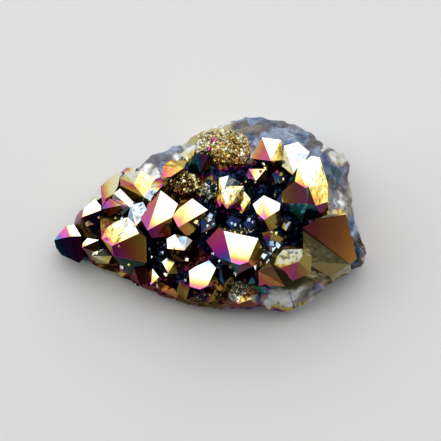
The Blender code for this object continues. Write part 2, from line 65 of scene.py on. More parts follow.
# name: tip (x, y, depth), way the point leans (bearing, lean), corners round it: (x, y) on the pyramid's cone,
# (x, y, depth) placed, (x, y, (i, j, k)) flat on the face through corners i, j and k, the tip being 0
CRYSTALS = {
    # left end
    "a": ((54, 240, -6.2), (190, 62), [(60, 232.5, (0, 2, 5)), (66, 226, -5.0), (74, 224.5, (2, 4, 5)), (81, 236, -2.6),
                                       (70, 236.5, -3.4), (84, 258, (4, 5, 7)), (79, 263, -5.9),
                                       (61.5, 255, (0, 5, 7)), (56, 248, (0, 5, 7))]),
    "b": ((82, 247.5, 0.5), (215, 36), [(83, 243), (87.5, 238), (99, 240), (100, 253), (88, 255)]),
    "c": ((81.7, 217.5, -0.5), (200, 52), [(84, 208.5, (0, 2, 4)), (95, 199, -1.4), (101, 206, (0, 2, 4)),
                                           (101, 210, 0.3), (96, 238, -1.8), (84, 237, -3.4), (76, 232, -5.5),
                                           (74, 224.5, -6), (76, 216.5, -5.5), (80, 210.5, -4.5)]),
    "c2": ((89, 205, -2), (160, 55), [(90, 200, -4), (95, 195, -4), (99, 189, -4), (104, 196, -1)]),
    "d": ((102.5, 207, 1.0), (235, 52), [(100.5, 186.5, -0.4), (105, 182.5, (1, 4, 7)), (115, 175.5, (1, 4, 7)),
                                         (121, 170.5, -1.1), (118, 186, (1, 4, 7)), (114, 193.5, (1, 4, 7)),
                                         (105.5, 199, 2.2)]),
    "e": ((101.5, 209.3, 3.5), (205, 42), [(106, 202, 2.6), (110.5, 198.5, 2.6), (120.5, 205.5, (0, 1, 2)), (127, 214.5),
                                           (113, 220), (103, 217)]),
    "bd": ((130, 207.5, 5.4), (240, 50), [(112, 199, 2.8), (114, 193.5, 3.4), (120, 188.5, 4.0), (134, 202.5, (0, 2, 3)),
                                          (122, 216, 3.2)]),
    "bw": ((135.5, 227, 6.0), (235, 50), [(128, 217, 5), (131, 205, 5.5), (143, 202, 6.5),
                                          (148, 212, 7), (142, 226, 5.5)]),
    "f": ((101.5, 238.5, 3.5), (212, 58), [(112, 246, 5.5), (100, 217, -0.6), (106, 228.5, (0, 5, 6)),
                                           (115, 222, (0, 5, 6)), (127, 217.5, 4.6), (139, 233.5, 7.6),
                                           (131, 219, (0, 5, 6)), (146.5, 262.5, 2.0), (113.5, 256, (1, 6, 8)),
                                           (146, 237, (1, 6, 8)), (140, 272, -1.6), (128, 274, -3.4),
                                           (118, 264, -2.4)]),
    "fb": ((92, 256, -1), (225, 32), [(93, 251), (104, 249), (112, 256), (108, 264), (96, 263)]),
    # upper left
    "q": ((120.5, 185.5, 4.0), (225, 58), [(120, 178, 2.4), (125, 173.5, 2.2), (141, 170.5, 3.6), (156, 180, 5.4),
                                           (133.5, 184.5, 6.0), (144, 197, 7.4), (151, 201, 6.8),
                                           (141, 205, 4.0), (131, 200, 3.0)]),
    "qb": ((149, 201, 7.0), (250, 50), [(145, 190, 6), (156, 179, 5.5), (161, 177, 6), (164, 184, 7)]),
    "r": ((162, 177, 6.6), (215, 36), [(163, 166, 5.2), (170, 160.5, 4.9), (187.5, 160.5, 6.0), (184, 168, 7.4),
                                       (170.5, 177, 7.2)]),
    "lt": ((123, 272, -2.5), (235, 45), [(114, 268), (120, 261), (132, 268), (134, 276)]),
    "u1": ((126, 168, -2), (120, 50), [(121, 172, -4), (127, 166.8, -4), (136, 168, -3.5), (134, 176, 0),
                                       (124, 176, 0)]),
    # middle
    "g": ((147.5, 230.5, 9.5), (228, 36), [(141, 219, (0, 2, 3)), (148, 204, 6.4), (161, 190.5, 7.3),
                                           (172, 199, (0, 3, 6)), (178, 204, (0, 3, 6)), (172, 217.5, 8.5),
                                           (171, 236, 5.5), (152, 238, (0, 6, 7))]),
    "h": ((178.5, 227.5, 11.0), (240, 34), [(172.5, 216, (0, 2, 3)), (179, 208.5, 9.2), (192.5, 198.5, 9.1),
                                            (208, 210, 9.1), (195, 218, (0, 3, 4)), (193.5, 232, 7.3),
                                            (187, 237, (0, 5, 6))]),
    "h2": ((202, 233, 9.0), (250, 30), [(194, 222), (200, 214), (214, 214), (216, 226), (208, 236)]),
    "i": ((184.5, 250.5, 9.6), (255, 28), [(167.5, 248.5, (0, 2, 3)), (167, 239, 7.6), (175, 234.5, 8.2),
                                           (187, 237, 8.0), (192.5, 240.5, 7.6), (190, 250.5, 7.4)]),
    "i2": ((186, 262, 6.5), (265, 28), [(170, 260), (168, 250), (193, 248), (195, 262)]),
    "j": ((200, 289.5, 6.5), (262, 33), [(190, 286.5, (0, 2, 5)), (189, 271, 5.3), (196, 266.5, (0, 2, 5)),
                                         (209, 260.5, (0, 2, 5)), (216, 268, 5.2), (208, 285.5, (0, 2, 5)),
                                         (218.5, 284, 3.4)]),
    "k": ((240, 265, 13.4), (262, 34), [(224, 231, 11.6), (258.5, 238.5, 12.0), (248.5, 262, (0, 1, 2)),
                                        (231.5, 262.5, (0, 1, 2)), (206.5, 241, 8.3), (219, 227.5, (1, 4, 5)),
                                        (217, 257, (1, 4, 5)), (237, 274.5, 9.3), (266, 256, 8.5),
                                        (252, 267, (2, 3, 9))]),
    "l": ((264.5, 220, 12.5), (265, 34), [(253, 204.5, 10.1), (264, 195.5, 10.9), (280.5, 203.5, 10.1),
                                          (279.5, 210, (0, 2, 3)), (281, 226, 8.4), (270, 231, (0, 4, 5)),
                                          (258.5, 222, 8.8), (257, 213, (0, 1, 2))]),
    "u": ((270, 251, 10.0), (262, 34), [(262, 233), (271, 231), (284, 239), (278, 249)]),
    "uc": ((286, 231, 10.0), (265, 28), [(282, 227), (284, 221.5), (291, 222), (292, 229)]),
    "k2": ((232, 229, 9.0), (262, 30), [(226, 222), (232, 216), (242, 220), (243, 227)]),
    "k3": ((249, 230, 9.5), (262, 30), [(243, 224), (249, 217), (256, 222), (258, 229)]),
    # right
    "m": ((308, 204, 14.0), (262, 20), [(305.5, 188, 15.2), (309, 187, 15.2), (282, 192, 10.6), (282, 203, (0, 1, 3)),
                                        (295, 181.5, (0, 1, 3)), (312, 156, 12.2), (298, 167, (1, 2, 6)),
                                        (320, 157.5, (1, 2, 6)), (313, 172, (1, 2, 6)), (328, 184, 11.3),
                                        (316, 205.5, 13.0), (328, 202, (2, 10, 11)), (322, 217, 8.5),
                                        (302, 222, 8.5), (329, 214, 7.0)]),
    "w": ((302.5, 228, 12.5), (290, 40), [(320, 218.5, (0, 2, 5)), (346, 214.5, 6.2), (350, 230, (0, 2, 5)),
                                          (353, 246, (0, 2, 5)), (357, 259, 3.4), (350, 264, (0, 2, 5)),
                                          (338, 246, (0, 2, 5)), (330, 233, (0, 2, 5))]),
    "wb": ((303, 231, 11.0), (275, 45), [(330, 234, 7.8), (338, 247, 6.2), (350, 264, 3.8), (352, 272, -1),
                                         (330, 277, 1.5), (304, 262, 6)]),
    "t": ((281, 267.5, 11.5), (250, 40), [(274.5, 265, (0, 3, 6)), (277, 257, (0, 3, 6)), (283, 250, 9.8),
                                          (302, 249, (0, 3, 6)), (303, 255, (0, 3, 6)), (299, 262, 11.9),
                                          (293, 281, 6), (311, 273, 6), (312, 256, 8)]),
    "s": ((258.5, 271, 9.0), (225, 48), [(263, 266.5), (272, 266), (285, 286, 6), (271, 290, 3), (259, 286, 4)]),
    "s2": ((264, 293, 4.5), (265, 32), [(254, 290), (255, 280), (266, 284), (271, 290)]),
    # top
    "n": ((271, 161, 9.5), (262, 36), [(251.5, 158.5, 6.4), (262, 137.5, 6.4), (281, 140, 6.4), (285, 160, 6.8),
                                       (278, 176, 3)]),
    "o": ((295, 177, 9.5), (262, 34), [(282, 166), (284, 146), (298, 142), (310, 152), (302, 168)]),
    "n2": ((256, 181, 8.5), (262, 30), [(246, 176), (249, 169), (266, 169), (267, 180), (257, 191)]),
    "n3": ((276, 184, 8.5), (255, 30), [(267, 180), (272, 173), (283, 174), (286, 182)]),
    "p": ((223, 193, 9.0), (262, 30), [(219, 188), (219, 178), (229, 175.5), (240, 182), (236, 192)]),
    "pa": ((227, 209, 10.5), (258, 30), [(221, 201), (221.5, 191), (232, 186), (244, 186), (243, 198), (236, 208)]),
    "pb": ((243, 212, 8.5), (262, 28), [(235, 208), (238, 197), (244.5, 191.5), (250.5, 199), (250, 209)]),
    "pc": ((220, 207, 7.5), (250, 30), [(215.5, 203), (214.5, 194), (220, 189), (224, 200)]),
    "p2": ((209, 199, 7.5), (255, 28), [(202, 193), (205, 183), (217, 184), (217, 196)]),
    "v1": ((200, 173, 5.0), (255, 30), [(190, 168, 3), (193, 154, 2.5), (209, 155, 3.5), (211, 168, 3.5)]),
    "v2": ((232, 164, 6.0), (265, 20), [(211, 155, 5), (213, 138, 1.5), (228, 133, 0), (247, 137, 1),
                                        (250, 150, 3.5), (246, 163, 5.2), (216, 162, 4)]),
    "v3": ((219, 134, -1.0), (100, 20), [(198, 142, 0), (204, 133, -4), (214, 128, -6), (230, 130, -3),
                                         (212, 150, 3), (198, 152, 2)]),
    "v4": ((183, 195, 6.5), (250, 20), [(167, 188, 4.5), (168, 176, 4.5), (184, 171, 5), (196, 178, 5.5),
                                        (197, 191, 6)]),
    # lower edge
    "bc1": ((151, 285, -1.0), (250, 32), [(147.5, 273), (152.5, 268.5), (159, 277)]),
    "bc2": ((162, 291.5, -0.5), (240, 32), [(156.5, 280.5), (173, 288), (182, 293.5), (176, 298)]),
    "bc3": ((168, 273, 3.5), (255, 30), [(162, 262), (167, 258), (175, 262), (178, 274), (172, 282)]),
    "bc4": ((140, 285, -1.5), (250, 45), [(130, 278, -3), (134, 268, 0), (147, 268, 1), (150, 282, -1)]),
    "bc5": ((186, 300, 0.5), (262, 30), [(176, 292), (180, 280), (192, 280), (198, 294)]),
    "bc6": ((208, 303, 1.5), (262, 30), [(199, 297), (203, 286), (217, 286), (221, 298)]),
    "bc7": ((238, 304, 2.0), (262, 30), [(228, 298), (231, 287), (246, 287), (252, 299)]),
    "bc10": ((221, 291, 3.5), (262, 30), [(210, 288), (214, 280), (226, 282), (229, 291)]),
    "bc8": ((224, 284, 6.0), (262, 30), [(217, 278), (221, 268), (233, 274), (234, 284)]),
    "bc9": ((248, 284, 6.5), (250, 30), [(238, 280), (243, 270), (255, 271), (255, 283)]),
}

RIM = [(74, 244, -11), (80, 228, -9.5), (90, 212, -8), (106, 190, -7), (124, 174, -6), (140, 166.5, -6), (153, 157, -7),
       (170, 149, -8), (187, 142.5, -8), (200, 133.5, -9), (220, 124.5, -10), (240, 120, -10),
       (260, 117, -11), (280, 121.5, -11), (300, 127.5, -11), (312, 134, -11), (325, 146, -10),
       (343, 153, -9), (350, 166, -8), (348, 186, -7), (351, 205, -7), (354, 222, -7), (361, 240, -7),
       (366, 253, -8), (360, 265, -8), (350, 273, -7), (336, 279, -5), (322, 289.5, -3), (305, 306, -4),
       (290, 310.5, -4), (265, 308.5, -4), (240, 308, -5), (215, 306.5, -5), (190, 304, -6),
       (170, 298, -7), (150, 289, -7), (130, 278, -8), (105, 268, -9), (90, 261.5, -10), (80, 258, -10.5)]
HUB = (222, 218)         # where the matrix's rings close in
# depth of the growing surface under the crystals, along X
BED = [(70, -7), (110, -4), (150, 0.5), (200, 3.0), (250, 4.5), (300, 5.0), (330, 3.0), (370, -4)]



# ---- the coat -----------------------------------------------------------------------------------
# For each point, its faces by the bearing that they turn to (0 right, 90 to the back, 270 to the front):
# film thickness at the start, part way and at the end, and a tone that is mostly painted shade: faces turned
# away from the lamps, to the front and down, get a darker coat (a low tone), faces turned to the key lamp a full one.
# The film runs along the interference ramp: -.2 slate blue, -.1 pale blue, 0 silver, .1 straw, .2 gold, .28 old gold,
# .37 orange, .45 red, .54 magenta, .63 purple, .71 violet, .79 blue, .87 cyan, .94 teal, 1 green.
# It changes with the distance from the tip, or where a sixth number is given, along that bearing; a
# seventh number says how far along the middle value is reached (a half without it).
COAT = [(40, 0.50, 0.10, 0.02, 1.0), (90, 0.56, 0.06, 0.00, 1.0), (150, 0.64, 0.50, 0.36, 0.9),
        (185, 0.70, 0.52, 0.40, 0.55), (230, 0.72, 0.60, 0.48, 0.20), (275, 0.68, 0.46, 0.27, 0.20),
        (315, 0.56, 0.34, 0.26, 0.26), (355, 0.45, 0.26, 0.20, 0.6)]
COATS = {
    "a": [(157, 0.90, 0.64, 0.53, 0.95, 50), (122, 0.30, 0.03, 0.00, 1.0, 20, 0.3), (224, 0.98, 0.76, 0.66, 0.15, 30, 0.35),
          (239, 0.72, 0.60, 0.47, 0.15, 10)],
    "b": [(72, 0.54, 0.08, 0.0, 1.0, 60, 0.35), (306, 0.46, 0.40, 0.30, 0.14, 0), (266, 0.5, 0.42, 0.35, 0.14)],
    "c": [(127, 0.50, 0.05, 0.00, 1.0, 60, 0.2), (160, 0.62, 0.52, 0.10, 0.45, 70), (169, 0.62, 0.56, 0.50, 0.30, 70),
          (189, 0.5, 0.45, 0.4, 0.22), (206, 0.36, 0.38, 0.30, 0.10), (228, 0.36, 0.30, 0.30, 0.07, 0),
          (259, 0.34, 0.68, 0.82, 0.11, 350, 0.4)],
    "c2": [(120, 0.2, 0.02, 0.0, 0.9), (200, 0.8, 0.7, 0.7, 0.2), (280, 0.4, 0.2, 0.2, 0.4)],
    "d": [(120, 0.45, 0.17, 0.05, 1.0, 15, 0.35), (177, 0.63, 0.55, 0.46, 0.9, 30), (305, 0.55, 0.30, 0.05, 0.95, 20)],
    "e": [(127, 0.76, 0.54, 0.12, 1.0, 25, 0.6), (238, 0.80, 0.70, 0.62, 0.16), (261, 0.68, 0.52, 0.34, 0.17, 0),
          (271, 0.36, 0.28, 0.24, 0.26, 0)],
    "bd": [(172, 0.03, 0.0, 0.0, 1.0), (196, 0.06, 0.10, 0.02, 0.85), (204, -0.10, -0.06, 0.06, 0.55, 90), (300, 0.1, 0.1, 0.1, 0.6)],
    "bw": [(176, 0.30, -0.05, -0.08, 1.0, 90, 0.2), (182, -0.12, -0.14, -0.06, 0.65, 60), (303, 0.42, 0.3, 0.28, 0.22)],
    "f": [(141, 0.58, 0.17, 0.00, 1.0, 50, 0.35), (149, 0.52, 0.34, 0.22, 0.7, 80), (124, 0.2, 0.26, 0.27, 0.25),
          (134, 0.36, 0.3, 0.27, 0.4), (213, 0.54, 0.32, 0.26, 0.45, 160, 0.3), (272, 0.66, 0.44, 0.27, 0.60, 28, 0.42),
          (266, 0.92, 0.98, 1.0, 0.06, 350), (260, 0.96, 0.97, 1.0, 0.04), (226, 0.3, 0.25, 0.25, 0.2),
          (49, 0.2, 0.1, 0.0, 0.5)],
    "fb": [(291, 0.26, 0.14, 0.04, 0.65, 120), (79, 0.00, -0.05, -0.08, 0.55), (324, 0.05, -0.06, 0.1, 0.55),
           (263, 0.36, 0.26, 0.2, 0.35)],
    "g": [(148, 0.66, 0.52, 0.40, 1.0, 75, 0.35), (74, 0.58, 0.12, 0.00, 1.0, 60, 0.34), (307, 0.66, 0.48, 0.28, 0.28, 10),
          (341, 0.4, 0.3, 0.27, 0.3)],
    "h": [(123, 0.58, 0.26, 0.06, 1.0, 70, 0.45), (53, 0.52, 0.17, 0.00, 1.0, 40, 0.4), (312, 0.42, 0.30, 0.26, 0.55, 10)],
    "h2": [(93, 0.80, 0.80, 0.80, 0.12), (161, 0.78, 0.80, 0.80, 0.10), (312, 0.80, 0.80, 0.80, 0.10),
           (356, 0.0, -0.12, -0.20, 0.75)],
    "i": [(160, 0.50, 0.05, 0.00, 1.0, 95, 0.2), (70, -0.05, -0.16, -0.06, 0.7, 60), (35, 0.1, -0.05, 0.0, 0.8),
          (343, 0.30, 0.22, 0.26, 0.6)],
    "i2": [(127, 0.52, 0.46, 0.40, 0.07), (208, 0.5, 0.4, 0.3, 0.08), (349, 0.30, 0.6, 0.8, 0.10, 270)],
    "j": [(92, 0.55, 0.10, -0.17, 1.0, 80, 0.34), (298, 0.72, 0.66, 0.60, 0.6), (346, 0.42, 0.29, 0.26, 0.30, 60)],
    "k": [(90, 0.64, 0.17, 0.00, 1.0, 80, 0.3), (177, 0.47, 0.60, 0.90, 0.44, 300, 0.5), (346, 0.46, 0.31, 0.27, 0.62, 60, 0.25),
          (232, 0.93, 0.95, 0.9, 0.12), (251, 0.95, 0.80, 0.8, 0.12), (276, 0.55, 0.62, 0.7, 0.13),
          (293, 0.50, 0.46, 0.4, 0.2), (79, 0.15, 0.12, 0.1, 0.6)],
    "k2": [(34, 0.80, 0.79, 0.80, 0.10), (153, 0.79, 0.79, 0.80, 0.10), (334, -0.05, -0.15, -0.20, 0.55)],
    "k3": [(41, 0.79, 0.79, 0.80, 0.10), (156, 0.79, 0.79, 0.80, 0.12), (337, -0.08, -0.18, -0.20, 0.60)],
    "l": [(153, 0.62, 0.14, 0.02, 1.0, 145, 0.7), (39, 0.60, 0.08, 0.00, 1.0, 40, 0.45), (329, 0.42, 0.27, 0.25, 0.35, 45, 0.25),
          (224, 0.62, 0.70, 0.6, 0.35), (214, 0.55, 0.68, 0.75, 0.5), (356, 0.2, 0.2, 0.2, 0.4)],
    "uc": [(72, 0.05, -0.1, 0.0, 0.30), (161, 0.2, 0.27, 0.27, 0.4), (353, 0.0, -0.1, -0.1, 0.3)],
    "m": [(105, 0.52, 0.04, 0.00, 1.0, 75, 0.2), (123, 0.45, 0.22, 0.10, 0.8, 100), (157, 0.5, 0.80, 0.80, 0.12, 120, 0.3),
          (210, 0.35, 0.44, 0.56, 1.0, 5), (232, 0.42, 0.92, 0.96, 0.8, 340, 0.3), (283, 0.97, 0.93, 0.55, 0.14, 0),
          (285, 0.62, -0.08, -0.05, 0.8, 90, 0.3), (325, 0.60, 0.45, 0.25, 0.85, 60), (3, 0.05, 0.18, 0.30, 1.0, 345, 0.5),
          (349, 0.34, 0.25, 0.20, 0.8, 60, 0.35), (317, 0.60, 0.50, 0.46, 0.22, 20), (320, 0.52, 0.48, 0.42, 0.22)],
    "n": [(82, 0.36, 0.04, 0.00, 1.0, 80, 0.2), (153, 0.58, 0.50, 0.33, 0.88, 150), (16, 0.12, 0.22, 0.30, 0.7, 10),
          (247, 0.55, 0.80, 0.50, 0.13, 0), (303, 0.54, 0.30, 0.1, 0.5, 60)],
    "n2": [(90, 0.55, 0.14, 0.22, 1.0, 350, 0.5), (187, 0.56, 0.58, 0.50, 0.9), (231, 0.50, 0.48, 0.46, 0.15),
           (294, 0.48, 0.44, 0.34, 0.16), (338, 0.36, 0.26, 0.2, 0.5)],
    "n3": [(96, 0.97, 0.80, 0.80, 0.12), (180, 0.5, 0.5, 0.8, 0.2), (345, 0.3, 0.12, 0.0, 0.6)],
    "o": [(141, 0.50, 0.06, 0.00, 1.0, 90, 0.14), (35, 0.02, -0.07, 0.04, 1.0, 110), (180, 0.52, 0.14, 0.02, 0.85, 90, 0.16)],
    "p": [(103, 0.24, 0.02, -0.05, 1.0, 80, 0.2), (166, 0.30, 0.24, 0.15, 0.8, 90), (6, 0.16, -0.06, -0.12, 0.85, 40),
          (270, 0.4, 0.3, 0.27, 0.3)],
    "pa": [(124, 0.50, 0.12, 0.00, 1.0, 85, 0.25), (35, 0.40, 0.22, 0.10, 1.0, 60, 0.25), (167, 0.55, 0.30, 0.18, 0.85, 80, 0.4),
           (354, 0.50, 0.25, 0.20, 0.95, 60, 0.3), (328, 0.56, 0.50, 0.36, 0.9, 60)],
    "pb": [(52, 0.45, 0.22, 0.08, 0.9, 70, 0.3), (126, 0.50, 0.24, 0.16, 1.0, 70, 0.3), (176, 0.58, 0.50, 0.40, 0.8),
           (355, 0.28, 0.25, 0.18, 0.55, 60), (270, 0.62, 0.5, 0.3, 0.3)],
    "pc": [(88, 0.50, 0.36, 0.28, 0.6, 80), (149, 0.54, 0.38, 0.28, 0.6, 80), (177, 0.60, 0.48, 0.36, 0.5, 80),
           (270, 0.6, 0.5, 0.4, 0.2)],
    "p2": [(98, 0.05, 0.12, 0.05, 0.6), (168, 0.10, 0.16, 0.2, 0.45), (358, 0.06, -0.05, 0.1, 0.5)],
    "q": [(92, 0.22, 0.15, 0.10, 1.0, 60), (88, 0.36, 0.20, 0.12, 1.0, 15, 0.35), (118, 0.22, 0.08, 0.03, 1.0, 90, 0.3),
          (125, 0.26, 0.20, 0.12, 0.9, 100, 0.4), (130, 0.50, 0.46, 0.38, 0.95, 110, 0.6), (185, 0.47, 0.40, 0.28, 0.5, 250),
          (224, 0.34, 0.26, 0.30, 0.30, 0), (231, 0.40, 0.29, 0.27, 0.20), (20, 0.10, 0.03, -0.05, 0.9),
          (251, 0.2, 0.05, 0.0, 0.7)],
    "qb": [(129, -0.17, -0.19, 0.80, 0.40), (138, -0.05, -0.18, 0.80, 0.7, 80), (300, -0.1, -0.1, -0.2, 0.5)],
    "r": [(106, 0.30, 0.25, 0.24, 0.8, 60), (117, 0.44, 0.30, 0.24, 0.8, 50, 0.4), (124, 0.52, 0.40, 0.28, 0.85, 60, 0.4),
          (137, 0.56, 0.50, 0.4, 0.7), (300, 0.4, 0.4, 0.3, 0.4)],
    "s": [(291, 0.42, 0.33, 0.36, 1.0, 330), (257, 0.38, 0.43, 0.58, 0.5, 235), (292, 0.1, 0.24, 0.3, 0.8),
          (260, 0.9, 0.97, 0.97, 0.14), (80, 0.2, 0.2, 0.3, 0.7)],
    "s2": [(135, 0.97, 0.97, 0.97, 0.16), (197, 0.97, 0.97, 0.97, 0.18), (2, 0.96, 0.6, 0.5, 0.16)],
    "t": [(117, 0.26, 0.13, 0.04, 0.42, 90, 0.35), (242, 0.44, 0.48, 0.53, 0.38), (283, 0.45, 0.50, 0.60, 0.42, 330),
          (293, 0.62, 0.40, 0.28, 0.28, 20, 0.4), (339, 0.28, 0.25, 0.26, 0.36), (24, 0.24, 0.16, 0.0, 0.6)],
    "u": [(20, 0.30, 0.26, 0.25, 0.20), (148, 0.80, 0.84, 0.26, 0.12), (329, 0.28, 0.06, 0.0, 0.6, 150)],
    "v1": [(116, 0.96, 0.66, 0.50, 0.05, 10), (156, 0.96, 0.96, 0.9, 0.07), (8, 0.48, 0.36, 0.28, 0.08)],
    "v2": [(86, 0.26, 0.24, 0.20, 0.85), (238, 0.40, 0.30, 0.20, 0.5), (66, 0.1, 0.15, 0.05, 0.8)],
    "v3": [(105, 0.12, 0.04, 0.00, 1.0), (180, 0.3, 0.1, 0.0, 0.7), (62, 0.24, 0.08, 0.02, 1.0), (101, 0.3, 0.16, 0.2, 0.8)],
    "v4": [(58, -0.1, -0.1, 0.2, 0.4), (94, 0.28, 0.26, 0.24, 0.45), (128, 0.30, 0.26, 0.24, 0.55),
           (175, 0.5, 0.4, 0.5, 0.5)],
    "w": [(350, 0.50, 0.41, 0.35, 0.42, 345, 0.35), (60, 0.3, 0.27, 0.27, 0.3), (270, 0.3, 0.27, 0.27, 0.25)],
    "wb": [(284, 0.27, 0.18, 0.24, 0.50, 330), (333, 0.28, 0.27, 0.27, 0.15), (279, 0.30, 0.25, 0.24, 0.36, 60),
           (293, 0.26, 0.20, 0.1, 0.4, 0)],
    "bc1": [(50, 0.50, 0.14, 0.0, 1.0, 70, 0.5), (146, 0.58, 0.44, 0.06, 1.0, 60, 0.45)],
    "bc2": [(76, 0.42, 0.38, 0.37, 0.55, 40), (300, 0.48, 0.39, 0.37, 0.6, 60, 0.4)],
    "bc3": [(77, 0.4, 0.10, 0.02, 0.95), (154, 0.55, 0.1, 0.0, 1.0, 70, 0.3), (286, 0.5, 0.3, 0.27, 0.32, 90, 0.3),
            (341, 0.3, 0.26, 0.2, 0.32)],
    "bc4": [(236, 0.46, 0.45, 0.48, 0.14), (267, 0.56, 0.48, 0.42, 0.22), (213, 0.5, 0.46, 0.44, 0.16)],
    "bc5": [(110, 0.26, 0.3, 0.8, 0.10), (174, 0.36, 0.3, 0.27, 0.16), (5, 0.3, 0.8, 0.8, 0.10)],
    "bc6": [(89, 0.5, 0.44, 0.36, 0.12), (176, 0.8, 0.8, 0.3, 0.10), (352, 0.4, 0.3, 0.27, 0.10)],
    "bc7": [(102, 0.1, 0.0, -0.05, 0.7), (181, 0.2, 0.0, -0.1, 0.5), (354, 0.5, 0.24, 0.1, 0.8)],
    "bc8": [(57, 0.80, 0.80, -0.2, 0.12), (168, 0.85, 0.8, 0.8, 0.12), (334, 0.29, 0.27, 0.26, 0.14)],
    "bc9": [(115, 0.5, 0.6, 0.8, 0.08), (182, 0.6, 0.46, 0.4, 0.10), (350, 0.9, 0.85, 0.8, 0.10)],
    "bc10": [(109, 0.40, 0.30, 0.27, 0.18), (193, 0.48, 0.38, 0.33, 0.55, 0), (344, 0.4, 0.3, 0.3, 0.14)],
}
# rough faces: how rough, on which points and, for some of them, only on these faces
ROUGH = {"f": 0.6, "p": 0.7, "pa": 0.8, "pb": 0.7, "pc": 0.6, "q": 0.25, "t": 1.0, "o": 0.3, "v1": 0.3, "v2": 1.0, "v3": 0.8, "v4": 1.0, "wb": 0.4,
         "fb": 0.5, "bc7": 0.8, "m": 0.5, "bw": 0.4, "bd": 0.2, "r": 0.3, "n": 0.4, "bc4": 0.4, "c": 0.3, "i2": 0.5,
         "k": 0.5, "j": 0.3, "e": 0.4}
THIN = {"wb": 0.40, "o": 0.15, "p2": 0.2, "w": 0.03}
PATCHY = {"m": (349, 3), "f": (141, 149, 134), "t": (117,), "q": (92, 88, 224, 118, 125), "n": (16,), "c": (228, 206),
          "k": (79,), "j": (346,), "e": (271,), "wb": (284, 293)}


def spot(x, y, w):
    shrink = SQUARE * (1.0 - w / VIEW)
    return Vector(((x - PLAN_MIDDLE[0]) * shrink, (PLAN_MIDDLE[1] - y) * shrink, w))


def plan(p):
    """Plan squares and depth of a standing point in millimetres."""
    q = p - Vector((ORIGIN_X, ORIGIN_Y, BASE_DROP))
    w = q.dot(AXIS_W)
    shrink = SQUARE * (1.0 - w / VIEW)
    return PLAN_MIDDLE[0] + q.dot(AXIS_U) / shrink, PLAN_MIDDLE[1] - q.dot(AXIS_V) / shrink, w


def stand(p):
    return AXIS_U * p.x + AXIS_V * p.y + AXIS_W * p.z + Vector((ORIGIN_X, ORIGIN_Y, BASE_DROP))


def aim(bearing, lean):
    b, l = math.radians(bearing), math.radians(lean)
    return Vector((math.sin(l) * math.cos(b), math.sin(l) * math.sin(b), math.cos(l)))


def turn_out(v):
    """A direction from the face's frame to the standing cluster."""
    return AXIS_U * v.x + AXIS_V * v.y + AXIS_W * v.z


def on_cone(tip, axis, x, y):
    c2 = math.cos(math.radians(PYRAMID)) ** 2
    w = tip.z - 1.0
    for _ in range(4):
        d = spot(x, y, w) - tip
        s = -(axis.x * d.x + axis.y * d.y)
        r2 = d.x * d.x + d.y * d.y
        a, b, c = axis.z ** 2 - c2, -2.0 * s * axis.z, s * s - c2 * r2
        disc = b * b - 4 * a * c
        if abs(a) < 1e-6 or disc < 0:
            q = -0.6 * math.sqrt(r2)
        else:
            roots = [(-b + sign * math.sqrt(disc)) / (2 * a) for sign in (1, -1)]
            kept = [v for v in roots if s - axis.z * v > 0] or roots
            q = max(kept)
        w = tip.z + max(q, -7.0)
    return spot(x, y, w)


def on_plane(x, y, a, b, c):
    n = (b - a).cross(c - a)
    u, v = (x - PLAN_MIDDLE[0]) * SQUARE, (PLAN_MIDDLE[1] - y) * SQUARE
    across = n.x * u + n.y * v
    return spot(x, y, (n.dot(a) - across) / (n.z - across / VIEW))


def crystal_points(tip, way, ring):
    t = spot(*tip)
    axis = aim(*way)
    ends = [t] + [None] * len(ring)
    for n, p in enumerate(ring, 1):
        if len(p) == 2:
            ends[n] = on_cone(t, axis, *p)
        elif not isinstance(p[2], tuple):
            ends[n] = spot(*p)
    for n, p in enumerate(ring, 1):
        if ends[n] is None:
            ends[n] = on_plane(p[0], p[1], *(ends[i] for i in p[2]))
    ends = ends[1:]
    middle = sum(ends, Vector()) / len(ends)
    back = [middle + (e - middle) * PRISM_TAPER - Vector((0, 0, PRISM)) for e in ends]
    return [stand(p) for p in [t] + ends], [stand(p) for p in back]


def hull_polygons(points, floor=FLOOR_GAP):
    """Convex hull in millimetres, as flat polygons with outward normals."""
    bm = bmesh.new()
    for p in points:
        bm.verts.new(p)
    found = bmesh.ops.convex_hull(bm, input=bm.verts[:])
    spare = {v for v in found["geom_interior"] + found["geom_unused"] if isinstance(v, bmesh.types.BMVert)}
    bmesh.ops.delete(bm, geom=list(spare), context="VERTS")
    if floor is not None and min(v.co.z for v in bm.verts) < floor:
        low = bmesh.ops.bisect_plane(bm, geom=bm.verts[:] + bm.edges[:] + bm.faces[:], dist=1e-5,
                                     plane_co=(0, 0, floor), plane_no=(0, 0, -1), clear_outer=True)
        cut = [e for e in low["geom_cut"] if isinstance(e, bmesh.types.BMEdge)]
        if cut:
            bmesh.ops.contextual_create(bm, geom=cut)
    bmesh.ops.dissolve_limit(bm, angle_limit=math.radians(3.0), verts=bm.verts[:], edges=bm.edges[:])
    bmesh.ops.recalc_face_normals(bm, faces=bm.faces[:])
    out = [([v.co.copy() for v in f.verts], f.normal.copy()) for f in bm.faces]
    bm.free()
    return out


def mix(a, b, t):
    t = max(0.0, min(1.0, t))
    return a + (b - a) * t


def smooth(t):
    t = max(0.0, min(1.0, t))
    return t * t * (3 - 2 * t)


